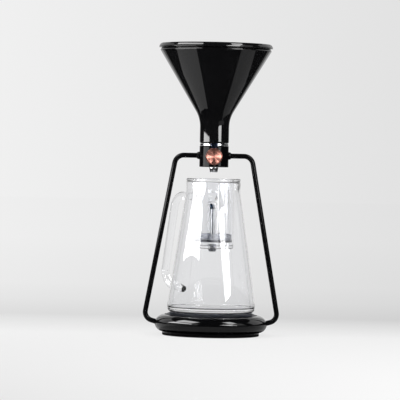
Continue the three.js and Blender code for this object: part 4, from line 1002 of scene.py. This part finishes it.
def holed_tile():
    """One tile of the strainer's wall with a round hole in it, inner and outer skin and the hole's edge."""
    half = TURN / STRAINER_TILES / 2
    floor = STRAINER_FLOOR_Z + STRAINER_T
    middle = (floor + STRAINER_TOP_Z) / 2
    half_h = (STRAINER_TOP_Z - floor) / 2
    shape = bmesh.new()

    def vertex(r, across, z):
        angle = across / STRAINER_R
        return shape.verts.new((r * math.cos(angle) * MM, r * math.sin(angle) * MM, z * MM))
    skins = []
    for r in (STRAINER_R, STRAINER_R - STRAINER_T):
        hole, edge = [], []
        for k in range(HOLE_SIDES):
            angle = TURN * (k + 0.5) / HOLE_SIDES
            x, z = math.cos(angle), math.sin(angle)
            hole.append(vertex(r, x * STRAINER_HOLE_R, middle + z * STRAINER_HOLE_R))
            reach = max(abs(x), abs(z))
            edge.append(vertex(r, x / reach * half * STRAINER_R, middle + z / reach * half_h))
        bridge(shape, hole, edge)
        skins.append((hole, edge))
    (outer_hole, outer), (inner_hole, inner) = skins
    bridge(shape, outer_hole, inner_hole)
    for k in range(HOLE_SIDES):
        j = (k + 1) % HOLE_SIDES
        if abs(outer[k].co.z - outer[j].co.z) < FLAT:
            shape.faces.new((outer[k], outer[j], inner[j], inner[k]))
    return mesh_of("strainer_tile", shape)


def strainer_cup():
    wall = run_tree("strainer_wall", holed_tile(), RING,
                    {"Copies": STRAINER_TILES, "Finish": FINISHES["strainer_steel"]})
    inner = STEM_R + STEM_PLAY
    top = STRAINER_FLOOR_Z + STRAINER_T
    floor = turned("strainer_floor", rounded([
        (inner, STRAINER_FLOOR_Z, 0.1), (STRAINER_R, STRAINER_FLOOR_Z, 0.3), (STRAINER_R, top, 0),
        (inner, top, 0.1)], closed=True), "strainer_steel")
    place("strainer_cup_steel", joined("strainer_cup", [wall, floor]), "strainer", "strainer_steel",
          "strainer_cup")


def strainer_seal():
    inner = SEAL_R - SEAL_WIDTH
    outline = rounded([
        (inner, SEAL_BOTTOM_Z, 0.4), (SEAL_R, SEAL_BOTTOM_Z, 0.9), (SEAL_R, SEAL_TOP_Z, 0.9),
        (inner, SEAL_TOP_Z, 0.4)], closed=True)
    turned_piece("strainer_seal_ring", outline, "strainer", "seal_rubber", "strainer_seal")


def strainer_stem():
    """The stem, and the cap on it with flutes pressed in."""
    flange_z = STRAINER_FLOOR_Z + STRAINER_T + GAP
    outline = rounded([
        (0, STEM_BOTTOM_Z, 0), (STEM_R, STEM_BOTTOM_Z, 0.4), (STEM_R, flange_z, 0),
        (STEM_FLANGE_R, flange_z, 0.2), (STEM_FLANGE_R, flange_z + STRAINER_T, 0.4),
        (STEM_R, flange_z + 2 * STRAINER_T, 0.8), (STEM_R, STEM_TOP_Z, 0.3), (0, STEM_TOP_Z, 0)])
    turned_piece("strainer_stem_steel", outline, "strainer", "strainer_steel", "strainer_stem", SMALL_SIDES,
                 "fluted_steel")
    cap = turned("stem_cap", rounded([
        (0, STEM_CAP_Z, 0), (STEM_CAP_R, STEM_CAP_Z, 0.3), (STEM_CAP_R, STEM_CAP_TOP_Z, 1),
        (0, STEM_CAP_TOP_Z, 0)]), "fluted_tip")
    for vertex in cap.vertices:
        flute = 1 + math.cos(STEM_CAP_FLUTES * math.atan2(vertex.co.y, vertex.co.x))
        vertex.co.x *= 1 - STEM_CAP_FLUTE_SHARE * flute
        vertex.co.y *= 1 - STEM_CAP_FLUTE_SHARE * flute
    place("stem_cap_metal", cap, "strainer", "dark_metal", "stem_cap")


# CAD nodes that are painted over the material of their slot
PAINTED = {"base_plate": "black_enamel"}


def finish_cad_nodes():
    """Gives every CAD node that still shows the finish of its slot, or the paint over it."""
    slots = {row["node"]: row["material_slot"] for row in frame["record"]["subparts"]}
    for name, node in frame["nodes"].items():
        node.data.materials.clear()
        node.data.materials.append(FINISHES[PAINTED.get(name, slots[name])])


# Studio, in metres and degrees; azimuths count from the camera's side

CAMERA_DISTANCE = 4.2
CAMERA_HEIGHT = 0.265
CLIP_END = 50
AIM_X = -0.0199
AIM_Z = 0.2045
VIEW_HEIGHT = 0.606
ROLL = math.radians(1.15)
SENSOR = 36
FLOOR_REACH = 14
FLOOR_WHITE = 0.9
FLOOR_GLOW_SHARE = 0.8
FLOOR_FAR = 6
# Painted light falloff: how soon behind the object the floor darkens towards the right like the backdrop
FLOOR_PAINTED_FALLOFF_RATE = 12
# The floor's fade into the backdrop, with painted shade in it, a darker band about half a metre behind the
# object: shares of FLOOR_FAR behind the object and of FLOOR_WHITE
FLOOR_FADE_AND_SHADE_SHARES = ((0.0, 1.0), (0.043, 0.87), (0.083, 0.755), (0.167, 0.822), (0.28, 0.864), (0.83, 0.897))
FLOOR_GLOW_END = 0.06
BACKDROP = 0.817
# Painted light falloff that darkens the backdrop and the far floor towards the right, and its limit in the
# backdrop
BACKDROP_PAINTED_FALLOFF = 0.9
BACKDROP_PAINTED_FALLOFF_LIMIT = 0.1
ROOM_FILL = 0.5
ROOM_DARK = 0.015
SWEEP_GLOW = 0.8
EDGE_GLOW = 0.35
CARD_GLOW = 12
HIGH_GLOW = 9
CARD_DISTANCE = 1.8
CARD_AIM_Z = 0.2
SWEEP_Y = 1.7
SWEEP_HALF = 0.95
SWEEP_STEP_Z = 0.35
SWEEP_TOP_Z = 1.8
TABLE_REACH = 0.6
BACK_DISTANCE = 2.2
BACK_STEP_Z = 0.47
WALL_DISTANCE = 0.95
WALL_LOW_Z = 0.34
WALL_TOP_Z = 0.8
LOW_WALL_TOP_Z = 0.22
FLAG_DISTANCE = 0.045
# Corners of a square, in turn
CORNERS = ((-1, -1), (1, -1), (1, 1), (-1, 1))

# Triangles on the table that start here: name, other two corners and glow
TABLE_START = (0, 0.1)
TABLE_CARDS = (
    ("left_table_card", (-TABLE_REACH, 0.3), (-TABLE_REACH, -TABLE_REACH), 0.75),
    ("right_table_card", (TABLE_REACH, -0.35), (TABLE_REACH, 0.38), 0.42),
    ("sweep_floor_card", (SWEEP_HALF, SWEEP_Y), (-SWEEP_HALF, SWEEP_Y), SWEEP_GLOW),
    ("sweep_edge_card", (-SWEEP_HALF, SWEEP_Y), (-1.4, SWEEP_Y), EDGE_GLOW),
    ("sweep_edge_card", (SWEEP_HALF, SWEEP_Y), (1.4, SWEEP_Y), EDGE_GLOW),
)
# The sweep's upright cards: half width, lower and upper edge
SWEEP_CARDS = ((SWEEP_HALF, 0, SWEEP_STEP_Z), (0.6, SWEEP_STEP_Z, SWEEP_TOP_Z))
# Discs under the object, painted shade seen in reflections: the table dimmed round the base and black under
# its overhang; radius, height and glow
TABLE_SHADE_DISCS = ((0.17, 0, 0.34), (0.084, 0.0002, 0))
# Cards that face the object: name, azimuth, elevation, width and height
HIGH_CARDS = (("high_left_card", -72, 52, 1.27, 0.7), ("high_right_card", 55, 50, 0.5, 0.8))
# Low panels beside the object: name and corners as azimuth, distance and height
LOW_PANELS = (
    ("low_left_panel", ((-39, 0.47, 0.218), (-97, 0.42, 0.17), (-88, 0.42, 0.312), (-39, 0.47, 0.303))),
    ("low_right_panel", ((38, 0.9, 0.248), (54, 0.9, 0.248), (56, 0.9, 0.6), (18, 0.9, 0.45))),
)
# Upright panels round the object: name, azimuths they run between, distance, lower and upper edge,
# the lower edge's drop along each, and glow
WALLS = (
    ("back_side_panel", (-98, -158), BACK_DISTANCE, BACK_STEP_Z, SWEEP_TOP_Z, 0, SWEEP_GLOW),
    ("back_side_panel", (98, 158), BACK_DISTANCE, BACK_STEP_Z, SWEEP_TOP_Z, 0, SWEEP_GLOW),
    ("back_low_panel", (-98, -158, 158, 98), BACK_DISTANCE, 0, BACK_STEP_Z, 0, BACKDROP),
    ("left_wall", (-27, -97), WALL_DISTANCE, WALL_LOW_Z, WALL_TOP_Z, 0, SWEEP_GLOW),
    ("right_wall", (30, 75), WALL_DISTANCE, WALL_LOW_Z, WALL_TOP_Z, 0, SWEEP_GLOW),
    ("neck_flag", (-15, -48, -80, -105), FLAG_DISTANCE, 0.3125, 0.3215, 0.001, 0),
    ("low_wall", (-27, -97), WALL_DISTANCE, 0, LOW_WALL_TOP_Z, 0, EDGE_GLOW),
    ("low_wall", (30, 75), WALL_DISTANCE, 0, LOW_WALL_TOP_Z, 0, EDGE_GLOW),
)
# Lamps that face the object: name, azimuth, elevation, width, height and power
LAMPS = (("left_lamp", -50, 35, 1.3, 1.0, 18), ("right_lamp", 50, 40, 0.7, 0.8, 9))


def camera():
    data = bpy.data.cameras.new("camera")
    data.sensor_width = SENSOR
    data.lens = SENSOR * CAMERA_DISTANCE / VIEW_HEIGHT
    data.clip_end = CLIP_END
    piece = object_of("camera", data)
    piece.location = (AIM_X, -CAMERA_DISTANCE, CAMERA_HEIGHT)
    away = Vector((AIM_X, 0, AIM_Z)) - piece.location
    piece.rotation_mode = "QUATERNION"
    piece.rotation_quaternion = away.to_track_quat("-Z", "Y") @ Matrix.Rotation(ROLL, 4, "Z").to_quaternion()
    bpy.context.scene.camera = piece


def sheet_piece(name, corners, material):
    mesh = bpy.data.meshes.new(name)
    mesh.from_pydata(corners, [], [tuple(range(len(corners)))])
    mesh.materials.append(material)
    piece = object_of(name, mesh)
    return piece


def card(name, corners, glow, through=True):
    """A sheet that glows, or is black at 0; it shows in reflections and, with through, behind glass."""
    finish = Finish(name + "_glow")
    shine = finish.add("ShaderNodeEmission", inputs={"Color": rgb(1, 1, 1), "Strength": glow})
    piece = sheet_piece(name, corners, finish.end(shine))
    piece.visible_camera = False
    piece.visible_diffuse = False
    piece.visible_transmission = through
    piece.visible_shadow = False
    return piece


def panel(name, corners, glow):
    """A card from corners given as azimuth, distance and height."""
    return card(name, [
        (math.sin(math.radians(azimuth)) * distance, -math.cos(math.radians(azimuth)) * distance, z)
        for azimuth, distance, z in corners], glow)


def facing(azimuth, elevation, aim_z):
    """A place at the cards' distance and a rotation that looks at the object from it."""
    azimuth, elevation = math.radians(azimuth), math.radians(elevation)
    level = math.cos(elevation)
    away = Vector((math.sin(azimuth) * level, -math.cos(azimuth) * level, math.sin(elevation)))
    return Vector((0, 0, aim_z)) + away * CARD_DISTANCE, away.to_track_quat("Z", "Y")


def lamp(name, azimuth, elevation, width, height, power):
    """A soft lamp that lights the object and throws the soft shadow."""
    data = bpy.data.lights.new(name, "AREA")
    data.shape = "RECTANGLE"
    data.size = width
    data.size_y = height
    data.energy = power
    piece = object_of(name, data)
    centre, turn = facing(azimuth, elevation, AIM_Z)
    piece.location = centre
    piece.rotation_euler = turn.to_euler()
    piece.visible_camera = False
    piece.visible_glossy = False
    piece.visible_transmission = False


def floor_paper():
    """White paper that keeps a faint shadow and fades into the backdrop behind the object, with painted shade
    in its glow: a darker band behind the object and a falloff towards the right.
    """
    finish = Finish("floor_paper")
    at = finish.where()
    paper = finish.add("ShaderNodeBsdfPrincipled", inputs={
        "Base Color": finish.mix(finish.noise(at, 300, 4), rgb(0.80, 0.80, 0.80), rgb(0.82, 0.82, 0.82)),
        "Roughness": 0.9, "Specular IOR Level": 0.1})
    x, y = finish.axis(at, 0), finish.axis(at, 1)
    back = y / FLOOR_FAR
    level = finish.ramp(back, *[(place, FLOOR_WHITE * share) for place, share in FLOOR_FADE_AND_SHADE_SHARES])
    across = x / (y.maths("MAXIMUM", 0) + CAMERA_DISTANCE)
    # Painted light falloff: far behind the object the floor darkens towards the right
    painted_falloff = 1 - across * BACKDROP_PAINTED_FALLOFF * (back * FLOOR_PAINTED_FALLOFF_RATE).maths("MINIMUM", 1)
    shine = finish.add("ShaderNodeEmission", inputs={"Color": level * painted_falloff, "Strength": 1.0})
    far = finish.ramp(back, (0.0, FLOOR_GLOW_SHARE), (FLOOR_GLOW_END, 1.0))
    seen = finish.light_path("Is Camera Ray") + finish.light_path("Is Transmission Ray")
    return finish.end(finish.blend(seen * far, paper, shine))


def studio():
    square = [(x * FLOOR_REACH, y * FLOOR_REACH, 0) for x, y in CORNERS]
    sheet_piece("floor", square, floor_paper()).visible_glossy = False
    for name, second, third, glow in TABLE_CARDS:
        card(name, [(x, y, 0) for x, y in (TABLE_START, second, third)], glow, through=False)
    for half, low, high in SWEEP_CARDS:
        corners = [(-half, SWEEP_Y, low), (half, SWEEP_Y, low), (half, SWEEP_Y, high), (-half, SWEEP_Y, high)]
        card("sweep_back_card", corners, SWEEP_GLOW)
    # Painted shade: these discs darken the table round and under the base wherever it is reflected
    for radius, z, glow in TABLE_SHADE_DISCS:
        turns = [TURN * i / SMALL_SIDES for i in range(SMALL_SIDES)]
        disc = [(radius * math.cos(turn), radius * math.sin(turn), z) for turn in turns]
        card("near_table_card", disc, glow, through=False)
    for name, azimuth, elevation, width, height in HIGH_CARDS:
        centre, turn = facing(azimuth, elevation, CARD_AIM_Z)
        corners = [centre + turn @ Vector((x * width / 2, y * height / 2, 0)) for x, y in CORNERS]
        card(name, corners, HIGH_GLOW)
    for name, corners in LOW_PANELS:
        panel(name, corners, CARD_GLOW)
    for name, azimuths, distance, low, high, drop, glow in WALLS:
        for first, last in zip(azimuths, azimuths[1:]):
            wall = panel(name, ((first, distance, low), (last, distance, low - drop),
                                (last, distance, high), (first, distance, high)), glow)
            wall.visible_glossy = name != "back_low_panel"
    for values in LAMPS:
        lamp(*values)


def world():
    """A pale backdrop for the camera and through glass, with painted light falloff from left to right, fill
    for surfaces, a dark room in reflections.
    """
    room = Finish("studio", bpy.data.worlds, "ShaderNodeOutputWorld")
    across = room.axis(room.add("ShaderNodeTexCoord", output="Generated"), 0)
    # Painted light falloff: the backdrop is brighter to the left and darker to the right
    painted_falloff = across.maths("MINIMUM", BACKDROP_PAINTED_FALLOFF_LIMIT).maths("MAXIMUM", -BACKDROP_PAINTED_FALLOFF_LIMIT)
    through = room.light_path("Is Transmission Ray")
    mirrored = (room.light_path("Glossy Depth") > 0.5) * (1 - through)
    fill, pale, dark = [
        room.add("ShaderNodeBackground", inputs={"Color": rgb(1, 1, 1), "Strength": strength})
        for strength in (ROOM_FILL, (1 - painted_falloff * BACKDROP_PAINTED_FALLOFF) * BACKDROP, ROOM_DARK)]
    lit = room.blend(room.light_path("Is Camera Ray") + through, fill, pale)
    bpy.context.scene.world = room.end(room.blend(mirrored, lit, dark))


for build in (camera, base_shell, platform, foot_ring, rods, valve_body, funnel_adaptor, valve_marker, nozzle,
              knob, funnel, jug, chamber, drip_tip, strainer_cup, strainer_seal, strainer_stem,
              finish_cad_nodes, studio, world):
    build()

bpy.context.scene.view_settings.view_transform = "Standard"
